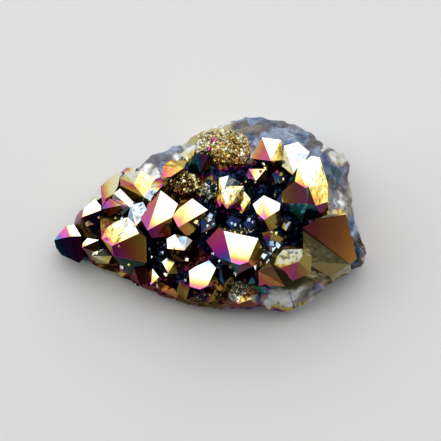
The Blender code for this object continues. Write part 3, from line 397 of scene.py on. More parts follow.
class Skin:
    """Gathers polygons with their coat, then makes one mesh object."""

    def __init__(self):
        self.points, self.faces, self.coat, self.soft = [], [], [], []

    def add(self, corners, coat, soft=False):
        start = len(self.points)
        self.points.extend(corners)
        self.faces.append(range(start, start + len(corners)))
        self.coat.append(coat)
        self.soft.append(soft)

    def make(self, name, material, weld=0.002, crease=18):
        mesh = bpy.data.meshes.new(name)
        mesh.from_pydata([p * MM for p in self.points], [], [list(f) for f in self.faces])
        for key, attr in enumerate(("film", "tone_and_shade", "bare", "rough")):
            layer = mesh.attributes.new(attr, "FLOAT", "CORNER")
            layer.data.foreach_set("value", [c[key] for face in self.coat for c in face])
        mesh.polygons.foreach_set("use_smooth", self.soft)
        bm = bmesh.new()
        bm.from_mesh(mesh)
        bmesh.ops.remove_doubles(bm, verts=bm.verts[:], dist=weld * MM)
        bm.to_mesh(mesh)
        bm.free()
        mesh.set_sharp_from_angle(angle=math.radians(crease))
        mesh.materials.append(material)
        piece = bpy.data.objects.new(name, mesh)
        bpy.context.scene.collection.objects.link(piece)
        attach(piece, "root")
        return piece


def turned(normal):
    """Bearing that a face turns to on the plan, and how far it leans from the line of sight, in degrees."""
    u, v, w = normal.dot(AXIS_U), normal.dot(AXIS_V), normal.dot(AXIS_W)
    return math.degrees(math.atan2(v, u)) % 360, math.degrees(math.acos(max(-1.0, min(1.0, w))))


def coat_of(choices, normal):
    bearing, lean = turned(normal)
    if lean < 5:
        bearing = 90
    return min(choices, key=lambda c: abs((c[0] - bearing + 180) % 360 - 180))


def facet(skin, corners, normal, coat_at, rough):
    """One crystal face: a narrow rim strip, then a relief that fades out at its rim."""
    middle = sum(corners, Vector()) / len(corners)
    reach = sum((c - middle).length for c in corners) / len(corners)
    rim = min(0.15, reach * 0.07)
    inner = []
    for c in corners:
        out = (c - middle).length
        inner.append(middle + (c - middle) * (1 - rim / max(out, rim * 2)))
    n = len(corners)
    worn = min(0.035, reach * 0.02)
    outer = [c - normal * worn for c in corners]
    for i in range(n):
        j = (i + 1) % n
        quad = [corners[i], corners[j], inner[j], inner[i]]
        skin.add(quad, [coat_at(corners[i], 1.0), coat_at(corners[j], 1.0), coat_at(inner[j], 0.0), coat_at(inner[i], 0.0)])
    if rough <= 0.05:
        steps = 4
        for i in range(n):
            a, b = inner[i], inner[(i + 1) % n]
            rows = [[middle.lerp(a.lerp(b, k / r) if r else middle, r / steps) for k in range(r + 1)]
                    for r in range(steps + 1)]
            for r in range(steps):
                for k in range(r + 1):
                    for tri in [(rows[r][k], rows[r + 1][k], rows[r + 1][k + 1])] + (
                            [(rows[r][k], rows[r + 1][k + 1], rows[r][k + 1])] if k < r else []):
                        skin.add(tri, [coat_at(p, 0.0) for p in tri], soft=True)
        return
    bm = bmesh.new()
    bm.faces.new([bm.verts.new(c) for c in inner])
    bmesh.ops.triangulate(bm, faces=bm.faces[:])
    size = max(0.16, min(0.26, reach * 0.07))
    for _ in range(7):
        long = [e for e in bm.edges if e.calc_length() > size * 1.4]
        if not long:
            break
        bmesh.ops.subdivide_edges(bm, edges=long, cuts=1)
        bmesh.ops.triangulate(bm, faces=[f for f in bm.faces if len(f.verts) > 3])
        bmesh.ops.beautify_fill(bm, faces=bm.faces[:], edges=[e for e in bm.edges if not e.is_boundary])
    place, coat = {}, {}
    for v in bm.verts:
        p = v.co.copy()
        edge = min(abs((p - inner[i]).dot(normal.cross((inner[(i + 1) % n] - inner[i]).normalized()))) for i in range(n))
        q = p + Vector((7.1, 3.3, 1.7))
        if rough > 0.95:
            d = noise.noise(q / 1.4) * 0.10 + noise.noise(q / 0.55) * 0.07 + broken(q, 0.8, 1.0) * 0.05
        else:
            d = noise.noise(q / 1.7) * 0.18 + ridge(q, 0.9) * 0.05 + noise.noise(q / 0.5) * 0.03
        place[v] = p + normal * ((d - 0.03) * rough * smooth(edge / 0.5))
        coat[v] = coat_at(p, 0.0)
    for f in bm.faces:
        corners_of = list(f.verts)
        if f.normal.dot(normal) < 0:
            corners_of.reverse()
        skin.add([place[v] for v in corners_of], [coat[v] for v in corners_of], soft=True)
    bm.free()


def ridge(p, size):
    return 1.0 - 2.2 * abs(noise.noise(p / size))


def broken(p, size, tilt):
    """Relief of a broken surface: flat chips at random tilts."""
    dist, cells = noise.voronoi(p / size)
    c = cells[0]
    h = noise.noise_vector(c * 9.7 + Vector((3.1, 7.7, 1.3)))
    return max(-1.0, min(1.0, (p / size - c).dot(h) * tilt * 2.0))


LUMPS = ("v2", "v3", "v4", "p2", "bc7")


def grow_points(skin, names):
    for name in names:
        tip, way, ring = CRYSTALS[name]
        front, back = crystal_points(tip, way, ring)
        apex = front[0]
        reach = max((p - apex).length for p in front[1:])
        coat = COATS.get(name, COAT)
        rough = ROUGH.get(name, 0.0)
        deep = min(plan(p)[2] for p in front)
        for corners, normal in hull_polygons(front + back):
            # faces turned down, or sunk more than 1 mm below the point's front corners, get a dark blue coat of tone
            # .2: painted shade
            if normal.z < -0.7 or max(plan(c)[2] for c in corners) < deep - 1.0:
                skin.add(corners, [(0.8, 0.2, 0.0, 0.3)] * len(corners))
                continue
            facing, at_start, at_mid, at_end, face_shade, *course = coat_of(coat, normal)
            coarse = rough if name not in PATCHY or facing in PATCHY[name] else 0.0
            knee = course[1] if len(course) > 1 else 0.5
            if course:
                turn = math.radians(course[0])
                track = AXIS_U * math.cos(turn) + AXIS_V * math.sin(turn)
                spans = [c.dot(track) for c in corners]
                low, long = min(spans), max(max(spans) - min(spans), 0.01)

            def coat_at(p, edge):
                d = (p.dot(track) - low) / long if course else (p - apex).length / reach
                film = mix(at_start, at_mid, max(0.0, d / knee) ** 1.2) if d < knee else mix(at_mid, at_end, (d - knee) / (1 - knee))
                if at_mid < 0.25 and face_shade > 0.6:
                    film += edge * mix(0.20, 0.04, d * 1.5)
                # painted shade: the tone falls towards the foot of the point, to 0.45 of its value 2.5 mm below its
                # lowest front corner
                tone_and_shade = face_shade * mix(0.45, 1.0, (plan(p)[2] - deep + 2.5) / 3.0)
                if coarse:
                    film += noise.noise(p / 1.1 + Vector((3, 9, 4))) * 0.26 * coarse + noise.noise(p / 0.5) * 0.14 * coarse
                    tone_and_shade *= 1.0 - coarse * 0.7 * smooth(noise.noise(p / 0.8 + Vector((5, 1, 2))) * 2.2)
                return (film, tone_and_shade, THIN.get(name, 0.0), coarse * 0.5)
            facet(skin, corners, normal, coat_at, coarse)


# ---- zones of the growing surface and of the broken matrix --------------------------------------
# centre x, y and half widths on the plan; film, tone, bare (0 coated, 1 thin grey coat), rough
# (bare: 0 cream, .25 warm grey, .5 lavender grey, .7 pale blue grey, .85 blue, 1 teal).
# The zones of low tone (about .1 to .2), in the cavities between the points and along the front foot, are painted
# shade;
# the zones of tone above 1 on the rim are painted highlights.
ZONES = [
    (250, 182, 42, 14, 0.80, 0.09, 0.0, 0.4), (205, 214, 14, 18, 0.80, 0.09, 0.0, 0.4),
    (235, 221, 18, 8, 0.80, 0.10, 0.0, 0.4), (157, 248, 10, 16, 0.80, 0.09, 0.0, 0.4),
    (181, 255, 14, 8, 0.48, 0.10, 0.0, 0.4), (297, 236, 14, 8, 0.80, 0.10, 0.0, 0.4),
    (225, 276, 10, 12, 0.80, 0.09, 0.0, 0.4), (198, 163, 12, 10, 0.95, 0.10, 0.0, 0.4),
    (180, 183, 18, 14, 0.27, 0.4, 0.0, 1.0), (210, 190, 8, 8, 0.12, 0.6, 0.2, 1.0),
    (230, 150, 22, 16, 0.27, 0.5, 0.0, 1.0), (203, 142, 10, 10, 0.20, 0.6, 0.3, 0.8),
    (222, 123, 16, 6, 0.00, 1.0, 1.0, 0.3), (237, 119, 7, 4, 0.72, 1.0, 1.0, 0.3), (253, 121, 5, 6, 0.88, 1.0, 1.0, 0.3),
    (264, 117, 12, 4, 0.70, 0.9, 1.0, 0.3), (265, 126, 13, 5, 0.56, 0.5, 1.0, 0.4), (244, 130, 16, 6, 0.32, 0.7, 1.0, 0.4),
    (275, 132, 9, 6, 0.80, 0.85, 1.0, 0.4), (290, 124, 10, 4, 0.50, 0.7, 1.0, 0.4), (297, 130, 8, 4, 0.60, 1.0, 1.0, 0.3),
    (288, 134, 10, 4, 0.66, 1.1, 1.0, 0.4), (303, 139, 6, 5, 0.82, 0.8, 1.0, 0.4), (313, 141, 8, 8, 0.36, 0.5, 1.0, 0.5),
    (312, 150, 6, 5, 0.70, 0.8, 1.0, 0.4), (326, 148, 5, 4, 0.00, 1.0, 1.0, 0.3), (329, 158, 3, 11, 0.88, 0.5, 1.0, 0.4),
    (341, 159, 8, 8, 0.02, 1.3, 0.8, 0.3), (343, 168, 6, 5, 0.70, 1.0, 1.0, 0.3), (335, 174, 5, 8, 1.0, 0.7, 1.0, 0.4),
    (348, 172, 4, 10, 0.25, 0.8, 1.0, 0.4), (332, 192, 4, 20, 0.20, 0.6, 1.0, 0.5), (341, 194, 3, 9, 0.05, 0.9, 1.0, 0.2),
    (336, 200, 4, 12, 0.66, 1.1, 1.0, 0.3), (348, 195, 4, 16, 0.20, 0.8, 1.0, 0.4), (345, 184, 4, 8, 0.55, 0.8, 1.0, 0.4),
    (338, 213, 9, 4, 0.23, 0.9, 0.0, 0.9), (350, 225, 4, 7, 0.86, 0.5, 1.0, 0.4), (354, 233, 4, 4, 0.72, 1.1, 1.0, 0.3),
    (357, 243, 5, 7, 0.30, 0.8, 1.0, 0.4), (355, 256, 4, 7, 1.0, 0.5, 1.0, 0.4), (363, 252, 4, 10, 0.12, 0.8, 1.0, 0.4),
    (358, 267, 6, 5, 0.35, 0.6, 1.0, 0.4), (346, 266, 4, 3, 0.75, 0.9, 1.0, 0.3),
    (325, 250, 24, 14, 0.26, 0.30, 0.5, 0.1), (325, 268, 28, 7, 0.25, 0.32, 0.5, 0.05), (330, 277, 20, 6, 0.26, 0.28, 0.5, 0.05),
    (300, 284, 36, 5, 0.27, 0.20, 0.4, 0.05),
    (270, 297, 10, 6, 0.12, 0.85, 1.0, 0.05), (290, 298, 14, 8, 0.08, 0.85, 1.0, 0.05), (309, 292, 11, 6, 0.12, 0.95, 1.0, 0.05), (318, 289, 5, 4, 0.62, 1.0, 1.0, 0.1),
    (285, 308, 18, 2.5, 0.24, 0.5, 0.0, 0.7), (305, 307, 8, 4, 0.24, 0.7, 0.0, 0.8), (262, 310, 20, 3, 0.93, 0.12, 0.0, 0.4),
    (242, 304, 14, 4, 0.42, 0.20, 0.0, 0.3), (205, 298, 20, 7, 0.34, 0.09, 0.0, 0.5), (262, 296, 4, 8, 0.97, 0.14, 0.0, 0.4),
    (140, 282, 14, 8, 0.47, 0.18, 0.0, 0.4), (96, 256, 8, 4, 0.10, 0.7, 0.0, 0.7), (80, 258, 12, 8, 0.94, 0.10, 0.0, 0.4), (106, 265, 12, 6, 0.36, 0.12, 0.0, 0.4),
    (120, 272, 6, 3, 0.24, 0.35, 0.0, 0.5), (92, 243, 8, 12, 0.36, 0.10, 0.0, 0.4),
    (158, 160, 12, 6, 0.52, 0.8, 1.0, 0.35), (172, 150, 11, 5, 0.70, 0.95, 1.0, 0.3), (187, 147, 6, 6, 0.00, 1.1, 1.0, 0.2),
    (181, 156, 5, 4, 0.03, 1.0, 1.0, 0.3), (150, 169, 7, 5, 0.00, 1.1, 1.0, 0.2), (139, 169, 8, 4, 0.05, 1.0, 1.0, 0.4),
    (160, 168, 2.5, 4, 0.86, 0.8, 1.0, 0.4), (127, 169, 6, 4, 0.48, 0.75, 1.0, 0.4), (196, 140, 7, 7, 0.20, 0.8, 0.3, 0.8),
    (252, 141, 6, 6, 0.70, 1.0, 1.0, 0.3), (247, 152, 6, 5, 0.00, 1.1, 1.0, 0.3), (108, 185, 12, 8, 0.12, 0.8, 0.0, 0.4),
    (137, 205, 8, 6, 0.70, 0.7, 1.0, 0.3), (222, 131, 12, 3, 0.20, 1.0, 0.3, 0.6),
]


def zone(x, y):
    wide, fine = noise.noise_vector(Vector((x / 11, y / 11, 0.5))), noise.noise_vector(Vector((x / 3.6, y / 3.6, 4.5)))
    x, y = x + wide.x * 6.0 + fine.x * 2.2, y + wide.y * 5.0 + fine.y * 2.2
    # where no zone reaches, the growing surface is a dark blue coat of tone .12: painted shade between the points
    total, out = 1e-7, [0.80 * 1e-7, 0.12 * 1e-7, 0.0, 0.4 * 1e-7]
    for zx, zy, rx, ry, *v in ZONES:
        soft = mix(3.4, 2.0, v[2])
        k = math.exp(-(((x - zx) / rx) ** 2 + ((y - zy) / ry) ** 2) * soft) * (100.0 / (rx * ry)) ** 1.2
        total += k
        for i in range(4):
            out[i] += k * v[i]
    return [o / total for o in out]


def bed_depth(x):
    for (xa, wa), (xb, wb) in zip(BED, BED[1:]):
        if x <= xb:
            return mix(wa, wb, (x - xa) / (xb - xa))
    return BED[-1][1]


def fracture(p):
    """Relief of the matrix in millimetres: broad shell-like hollows between ridges, with finer ripples."""
    q = p + noise.noise_vector(p * 0.22) * 1.6
    d = ridge(q, 6.5) * 0.85 + ridge(q + Vector((9, 4, 2)), 2.9) * 0.34 + ridge(q + Vector((1, 8, 5)), 1.2) * 0.13
    return d + broken(q, 3.4, 1.2) * 0.50


MAT_TURN, MAT_TOP, MAT_SIDE = 460, 80, 34


def make_matrix(material):
    rim = [Vector(p) for p in RIM]
    spans = [(rim[(i + 1) % len(rim)] - p).to_2d().length for i, p in enumerate(rim)]
    total = sum(spans)
    around = []
    for k in range(MAT_TURN):
        s, i = total * k / MAT_TURN, 0
        while s > spans[i]:
            s -= spans[i]
            i += 1
        around.append(rim[i].lerp(rim[(i + 1) % len(rim)], s / spans[i]))
    hub = Vector((HUB[0], HUB[1], bed_depth(HUB[0])))
    rows = []
    for r in range(1, MAT_TOP + 1):
        f = r / MAT_TOP
        k = f ** 4
        rows.append([stand(spot(hub.x + (p.x - hub.x) * f, hub.y + (p.y - hub.y) * f,
                                bed_depth(hub.x + (p.x - hub.x) * f) * (1 - k) + p.z * k)) for p in around])
    edge = rows[-1]
    middle = sum(edge, Vector()) / len(edge)
    foot = [Vector((middle.x + (e.x - middle.x) * BASE_SHRINK, middle.y + (e.y - middle.y) * BASE_SHRINK, 0))
            for e in edge]
    for r in range(1, MAT_SIDE):
        f = r / MAT_SIDE
        rows.append([e.lerp(b, f) + Vector((e.x - middle.x, e.y - middle.y, 0)) * SIDE_BULGE * math.sin(math.pi * f)
                     for e, b in zip(edge, foot)])
    rows.append(foot)
    last = len(rows) - 1
    coats, moved = [], []
    round_mm = total * SQUARE / math.tau
    for r, row in enumerate(rows):
        line, coat = [], []
        for k, p in enumerate(row):
            a = rows[max(r - 1, 0)][k] if r else row[k]
            b = rows[min(r + 1, last)][k]
            along = (b - a)
            side = row[(k + 1) % MAT_TURN] - row[k - 1]
            out = side.cross(along)
            out = -out.normalized() if out.length > 1e-9 else Vector((0, 0, 1))
            if out.dot(p - middle) < 0 and r > 4:
                out = -out
            if r <= 4:
                out = Vector((0, 0, 1))
            amp = 1.15 if r < last else 0.0
            if r > last - 3:
                amp *= (last - r) / 3.0
            turn = math.tau * k / MAT_TURN
            out_mm = (p - edge[k]).length * (1 if r < MAT_TOP else -1)
            rib = Vector((math.cos(turn) * round_mm * 0.30, math.sin(turn) * round_mm * 0.30, out_mm))
            rib += noise.noise_vector(p * 0.15) * 1.4
            px, py, _ = plan(p)
            z = zone(px, py)
            calm = mix(0.25, 1.0, z[3] * 3.0 - 0.2)
            if r > MAT_TOP:
                calm = mix(calm, 1.0, min(1.0, (r - MAT_TOP) / (12.0 if z[3] > 0.12 else 30.0)))
            groove = smooth(1 - abs((px - 290) * 0.957 - (py - 294) * 0.29) / 0.9) * (292 < py < 309) * (280 < px < 302)
            d = (fracture(p) * 0.55 + ridge(rib, 2.6) * 0.34 + ridge(rib + Vector((3, 3, 3)), 1.1) * 0.14 - 0.45) * amp
            hollow = smooth((d / max(amp, 1e-6) + 0.30) / 0.75)
            d = d * calm - groove * 0.35
            q = p + out * d
            if r == last:
                q.z = 0.0
            q.z = max(q.z, 0.0)
            # painted shadow: the tone drops by up to 0.8 along the groove at the lower right front; on bare parts a
            # thicker film is also a little darker
            z[1] *= (1 - 0.8 * groove) * mix(1.0, 0.72, smooth(z[0] * 5) * z[2])
            if r > MAT_TOP:
                f = (r - MAT_TOP) / (last - MAT_TOP)
                hue, sheen = noise.noise(p / 7.0 + Vector((2, 5, 1))), noise.noise(p / 9.0 + Vector((7, 1, 4)))
                grain_at = noise.noise(p / 3.1 + Vector((1, 8, 3)))
                bare = 1.0 - 0.75 * smooth(sheen * 3.0 - 0.5)
                side = (0.34 + hue * 0.70 + grain_at * 0.25, 0.86 + grain_at * 0.4, bare, 0.4)
                # painted shade: low on the front left, the side keeps the dark zone tone further down in place of the
                # side's own
                front_foot_shade = smooth((py - 245) / 25) * smooth((265 - px) / 20)
                z = [mix(z[i], side[i], min(1.0, f * mix(3.0, 1.2, front_foot_shade))) for i in range(4)]
                z[1] *= 0.95
            # painted shade in the hollows of the relief (tone down to half) and painted highlight on its ridges (up to
            # 1.12), on bare parts
            z[1] *= mix(1.0, mix(0.50, 1.12, hollow), z[2])
            z[0] += (0.5 - hollow) * 0.16 * z[2]
            line.append(q)
            coat.append(tuple(z))
        moved.append(line)
        coats.append(coat)
    skin = Skin()
    top = stand(spot(*hub))
    for k in range(MAT_TURN):
        j = (k + 1) % MAT_TURN
        skin.add([top, moved[0][k], moved[0][j]], [coats[0][k]] * 3, soft=True)
        for r in range(last):
            quad = (moved[r][k], moved[r + 1][k], moved[r + 1][j], moved[r][j])
            cq = (coats[r][k], coats[r + 1][k], coats[r + 1][j], coats[r][j])
            skin.add([quad[0], quad[1], quad[2]], [cq[0], cq[1], cq[2]], soft=True)
            skin.add([quad[0], quad[2], quad[3]], [cq[0], cq[2], cq[3]], soft=True)
    skin.add([moved[last][k] for k in range(MAT_TURN)], [(0.5, 0.7, 1.0, 0.6)] * MAT_TURN)
    return skin.make("matrix", material, crease=30)


def small_crystal(skin, root, axis, r, h, rng, coat):
    """A little six-sided point standing at root."""
    side = axis.orthogonal().normalized()
    side.rotate(Matrix.Rotation(rng.uniform(0, math.tau), 3, axis))
    other = axis.cross(side)
    ends, base = [], []
    for k in range(6):
        a = math.tau * k / 6
        rr = r * (1.0 + rng.uniform(-0.15, 0.15))
        q = root + (side * math.cos(a) + other * math.sin(a)) * rr
        drop = r * (1.05 + (0.35 if k % 2 else -0.1) + rng.uniform(-0.2, 0.2))
        ends.append(q + axis * (h - drop))
        base.append(q - axis * r)
    tip = root + axis * h + (side * rng.uniform(-0.2, 0.2) + other * rng.uniform(-0.2, 0.2)) * r
    for corners, normal in hull_polygons([tip] + ends + base, None):
        # each little face takes its tone from the bearing table: painted shade on faces turned away from the lamps
        tone_and_shade = coat_of(COAT, normal)[4]
        line = []
        for c in corners:
            d = (c - tip).length / (r * 2.0)
            line.append((coat[0] + 0.05 * (1 - min(1.0, d)), min(1.0, coat[1] * (0.2 + tone_and_shade)), coat[2], coat[3]))
        skin.add(corners, line)


# where small crystals grow: centre x, y, half widths, how many, sizes in mm, film from-to, reflection from-to (tone;
# the low tones of the small crystals in the cavities are painted shade)
DRUSE = [
    (230, 148, 22, 15, 860, (0.16, 0.42), (0.06, 0.38), (0.15, 0.95)),
    (221, 140, 14, 6, 120, (0.2, 0.45), (0.02, 0.22), (0.7, 1.0)),
    (222, 131, 26, 6, 420, (0.16, 0.36), (-0.04, 0.30), (0.3, 1.0)),
    (246, 147, 5, 16, 150, (0.16, 0.36), (-0.04, 0.26), (0.4, 1.0)),
    (216, 136, 7, 3, 30, (0.2, 0.4), (0.52, 0.62), (0.4, 0.8)),
    (225, 157, 20, 6, 220, (0.16, 0.36), (0.18, 0.42), (0.25, 0.7)),
    (184, 181, 16, 11, 170, (0.24, 0.56), (0.04, 0.32), (0.6, 1.0)),
    (181, 186, 18, 13, 420, (0.16, 0.45), (0.26, 0.42), (0.06, 0.2)),
    (210, 190, 8, 8, 170, (0.18, 0.36), (-0.10, 0.20), (0.3, 0.8)),
    (203, 142, 8, 9, 110, (0.18, 0.4), (-0.05, 0.26), (0.5, 1.0)),
    (252, 182, 50, 15, 110, (0.35, 1.0), (0.76, 0.84), (0.06, 0.14)),
    (262, 178, 30, 9, 16, (0.2, 0.45), (-0.10, 0.45), (0.5, 1.0)),
    (205, 214, 15, 22, 60, (0.35, 0.9), (0.76, 0.84), (0.06, 0.14)),
    (204, 210, 12, 20, 16, (0.2, 0.5), (-0.18, -0.04), (0.4, 0.9)),
    (240, 222, 22, 9, 40, (0.35, 0.8), (0.76, 0.84), (0.05, 0.12)),
    (244, 231, 14, 3, 90, (0.16, 0.34), (-0.12, 0.14), (0.5, 1.0)),
    (158, 252, 12, 22, 90, (0.3, 0.8), (0.74, 0.88), (0.05, 0.12)),
    (158, 256, 9, 18, 16, (0.16, 0.36), (-0.12, 0.2), (0.5, 1.0)),
    (182, 262, 20, 8, 90, (0.25, 0.7), (0.26, 0.55), (0.06, 0.2)),
    (178, 256, 12, 5, 30, (0.16, 0.30), (0.0, 0.25), (0.6, 1.0)),
    (292, 234, 16, 9, 50, (0.3, 0.8), (0.76, 0.84), (0.05, 0.12)),
    (226, 276, 13, 12, 80, (0.3, 0.8), (0.72, 0.86), (0.05, 0.14)),
    (230, 276, 14, 14, 14, (0.18, 0.4), (-0.16, 0.2), (0.4, 0.9)),
    (206, 298, 26, 7, 170, (0.22, 0.6), (0.24, 0.50), (0.06, 0.2)),
    (206, 301, 22, 3, 46, (0.16, 0.34), (-0.1, 0.24), (0.7, 1.0)),
    (240, 293, 12, 8, 240, (0.16, 0.42), (-0.10, 0.25), (0.45, 1.0)),
    (251, 298, 8, 5, 90, (0.2, 0.45), (0.14, 0.50), (0.6, 1.0)),
    (141, 283, 16, 9, 60, (0.3, 0.7), (0.38, 0.56), (0.08, 0.2)),
    (121, 269, 8, 4, 18, (0.25, 0.45), (0.05, 0.36), (0.6, 1.0)),
    (112, 264, 12, 5, 40, (0.3, 0.6), (0.26, 0.34), (0.06, 0.16)),
    (155, 290, 4, 4, 8, (0.2, 0.45), (0.0, 0.4), (0.6, 1.0)),
    (88, 252, 8, 6, 18, (0.25, 0.5), (0.3, 0.5), (0.08, 0.2)),
]
# small crystals listed one by one: x, y, half width in mm, film, reflection
BITS = [
    (80, 225, 0.9, 0.10, 1), (84, 225, 0.36, 0.40, 0.85), (91, 218, 0.36, 0.37, 0.5), 
    (110, 219, 0.45, 0.24, 0.8), (117, 220, 0.5, -0.17, 0.8), (113, 214, 0.36, 0.42, 0.5), (88, 257, 0.7, 0.16, 1),
    (117, 271, 0.9, 0.01, 0.8), (123, 268, 0.9, 0.24, 1), (113, 248, 0.43, 0.40, 0.85), (117, 246, 0.29, 0.52, 0.85),
    (145, 252, 0.4, 0.00, 0.7), (146, 256, 0.4, 0.00, 0.8), (147, 260, 0.45, -0.05, 0.8),
    (154, 246, 0.5, 0.15, 0.7), (162, 248, 0.6, -0.03, 0.8), (159, 257, 1, -0.17, 0.8), (158, 265, 0.6, 0.97, 0.6),
    (171, 254, 0.7, 0.10, 1), (176, 256, 0.6, 0.20, 0.9), (173, 251, 0.4, 0.20, 0.7), (181, 253, 0.36, 0.50, 0.3),
    (153, 286, 0.5, 0.10, 0.8), (155, 291, 0.9, 0.14, 1), (162, 279, 0.7, 0.01, 0.72), (156, 284, 0.5, 0.54, 0.85),
    (176, 265, 1, -0.01, 0.8), (181, 266, 0.9, -0.05, 0.72), (186, 263, 0.6, 0.08, 0.9), (184, 268, 0.4, 0.20, 0.8),
    (184, 285, 0.5, -0.05, 0.7), (193, 293, 0.6, -0.10, 0.72), (193, 299, 0.6, 0.20, 0.9), (204, 301, 0.6, 0.00, 0.8),
    (209, 302, 0.6, 0.16, 0.9), (216, 301, 0.7, -0.03, 0.8), (220, 303, 0.42, 0.20, 1), (230, 300, 0.5, -0.05, 0.8),
    (203, 237, 0.7, -0.04, 0.5), (206, 234, 0.39, 0.00, 0.4), (208, 222, 1.1, -0.09, 0.61), (211, 217, 0.78, -0.17, 0.72),
    (207, 228, 0.62, -0.02, 0.64), (213, 226, 0.62, -0.17, 0.7), (195, 223, 0.8, 0.18, 0.8), (196, 229, 0.8, 0.16, 0.8),
    (198, 226, 0.6, -0.06, 0.7), (206, 200, 0.62, -0.10, 0.64), (209, 199, 0.47, -0.17, 0.7), (176, 201, 0.8, 0.80, 0.1),
    (213, 256, 0.9, -0.08, 0.5), (217, 259, 0.9, -0.06, 0.5), (220, 264, 0.56, -0.10, 0.5), (224, 268, 0.6, -0.17, 0.5),
    (220.5, 227, 0.9, 0.16, 1), (226, 231, 0.39, 0.30, 0.64), (229, 229, 0.47, 0.08, 0.72), (233, 225, 0.55, -0.17, 0.72),
    (237, 226, 0.55, -0.17, 0.68), (242, 227, 0.47, -0.17, 0.64), (246, 228, 0.39, -0.17, 0.64), (239, 231, 0.7, -0.07, 0.64), (244, 233, 0.55, 0.12, 0.8),
    (249, 233, 0.62, -0.03, 0.58), (254, 235, 0.62, -0.10, 0.72), (236, 234, 0.39, 0.20, 0.72), (252, 221, 0.7, -0.17, 0.6),
    (255, 224, 0.7, -0.17, 0.7), (257, 227, 0.55, -0.17, 0.6), (250, 217, 0.47, -0.17, 0.6),
    (224, 212, 0.56, 0.62, 0.68), (229, 214, 0.51, 0.56, 0.68), (234, 215, 0.45, 0.64, 0.64),
    (239, 214, 0.62, 0.88, 0.7), (244, 212, 0.55, 0.28, 0.6), (217, 206, 0.45, 0.60, 0.5), (215, 202, 0.45, 0.40, 0.6),
    (258, 180, 0.47, 0.03, 0.8), (254, 187, 0.78, 0.08, 0.8), (245, 189, 0.39, 0.08, 0.64), (248, 184, 0.51, 0.47, 0.3),
    (268, 161, 0.78, 0.10, 0.8), (270, 165, 0.7, 0.16, 0.8), (264, 170, 0.45, 0.60, 0.64), 
    (281, 171.5, 0.62, 0.54, 0.68), (286, 173, 0.62, 0.28, 0.72), (271, 181, 0.45, 0.50, 0.68), (277, 181, 0.78, 0.20, 0.8),
    (283, 180.5, 0.7, -0.01, 0.64), (287, 178.5, 0.55, 0.10, 0.64), (296, 179, 0.55, 0.96, 0.5), (279, 195, 0.7, 0.10, 0.7),
    (285.5, 226, 0.78, 0.24, 0.6), (290, 222, 0.62, -0.06, 0.4), (272, 232, 0.62, -0.05, 0.64), (276, 234, 0.7, 0.01, 0.64),
    (280, 236, 0.7, 0.20, 0.8), (285, 238, 0.86, 0.21, 0.8), (290, 238, 0.55, 0.28, 0.64), 
    (284, 250, 0.62, -0.07, 0.64), (268, 255, 1.3, -0.17, 0.8), (272, 258, 1.2, -0.17, 0.9),
    (270, 263, 1.1, -0.08, 0.7), (263, 268, 0.9, 0.10, 0.9), (258, 270, 1, 0.00, 0.8), (258, 275, 0.5, 0.30, 0.8),
    (238, 279, 0.7, -0.05, 0.64), (237, 276, 0.5, 0.02, 0.7), (232, 286, 0.6, -0.10, 0.7),
    (185, 155, 1.1, 0.10, 1), (190, 157, 1.2, 0.22, 1), (180, 156, 0.9, -0.03, 0.8), (193, 152, 0.9, 0.18, 0.9),
    (176, 157, 0.7, 0.00, 0.8), (214, 136, 0.65, 0.55, 0.8), (218, 135, 0.58, 0.60, 0.6), (209, 146, 0.58, 0.56, 0.7),
    (167, 180, 0.5, 0.54, 0.8), (150, 193, 0.9, -0.17, 0.8), (333, 213, 0.8, 0.20, 1),
    (276, 252, 1.1, -0.15, 0.9), (281, 248, 1, -0.17, 0.8), (286, 246, 0.8, -0.10, 0.9), (291, 244.5, 0.7, -0.17, 0.9),
    (276, 246, 0.9, -0.17, 0.6), (266, 259, 0.9, -0.16, 0.8), (269, 252, 0.7, -0.14, 0.7),
]


def grow(skin, x, y, r, axis, coat, grounds, points, rng, sink=0.5):
    """One small crystal where the line of sight at (x, y) meets the ground first."""
    start = stand(spot(x, y, 40.0)) * MM
    hits = [h for h in (tree.ray_cast(start, -AXIS_W) for tree in grounds) if h[0] is not None]
    if not hits:
        return
    place, slope, _, far = min(hits, key=lambda h: h[3])
    if points is not None:
        over = points.ray_cast(start, -AXIS_W)
        if over[0] is not None and over[3] < far:
            return
    small_crystal(skin, place / MM - axis * r * sink, (axis + slope * 0.3).normalized(), r, r * rng.uniform(1.3, 2.0), rng, coat)


def make_druse(material, matrix, lumps, points):
    """Small crystals over the growing surface between the big points and on the drusy lumps."""
    from mathutils.bvhtree import BVHTree
    rng = random.Random(11)
    skin = Skin()
    look = bpy.context.evaluated_depsgraph_get()
    trees = [BVHTree.FromObject(s, look) for s in (matrix, lumps, points)]
    for x0, y0, rx, ry, count, sizes, films, tone_and_shade_range in DRUSE:
        for _ in range(count):
            turn, out = rng.uniform(0, math.tau), math.sqrt(rng.random()) * rng.uniform(0.8, 1.1)
            x, y = x0 + math.cos(turn) * out * rx, y0 + math.sin(turn) * out * ry
            r = rng.uniform(*sizes)
            axis = turn_out(Vector((rng.gauss(-0.15, 0.3), rng.gauss(-0.5, 0.35), 1.0))).normalized()
            film, tone_and_shade = rng.uniform(*films), rng.uniform(*tone_and_shade_range)
            if count > 140:
                band = noise.noise(Vector(((x + y) / 7.0, (x - y) / 3.6, x0))) + 0.5 * noise.noise(Vector((x / 1.8, y / 1.8, 3)))
                film, tone_and_shade = film - band * 0.10, tone_and_shade * mix(0.18, 1.15, smooth(band * 1.5 + 0.62))
                r *= mix(0.85, 1.2, smooth(band * 1.5 + 0.5))
            coat = (film, tone_and_shade, 0.0, 0.2)
            grow(skin, x, y, r, axis, coat, trees[:2], trees[2], rng)
    for x, y, r, film, tone_and_shade in BITS:
        axis = turn_out(Vector((rng.gauss(0, 0.15), -0.72, 1.0))).normalized()
        grow(skin, x, y, r, axis, (film, tone_and_shade, 0.0, 0.1), trees, None, rng, 0.8)
    return skin.make("druse", material)


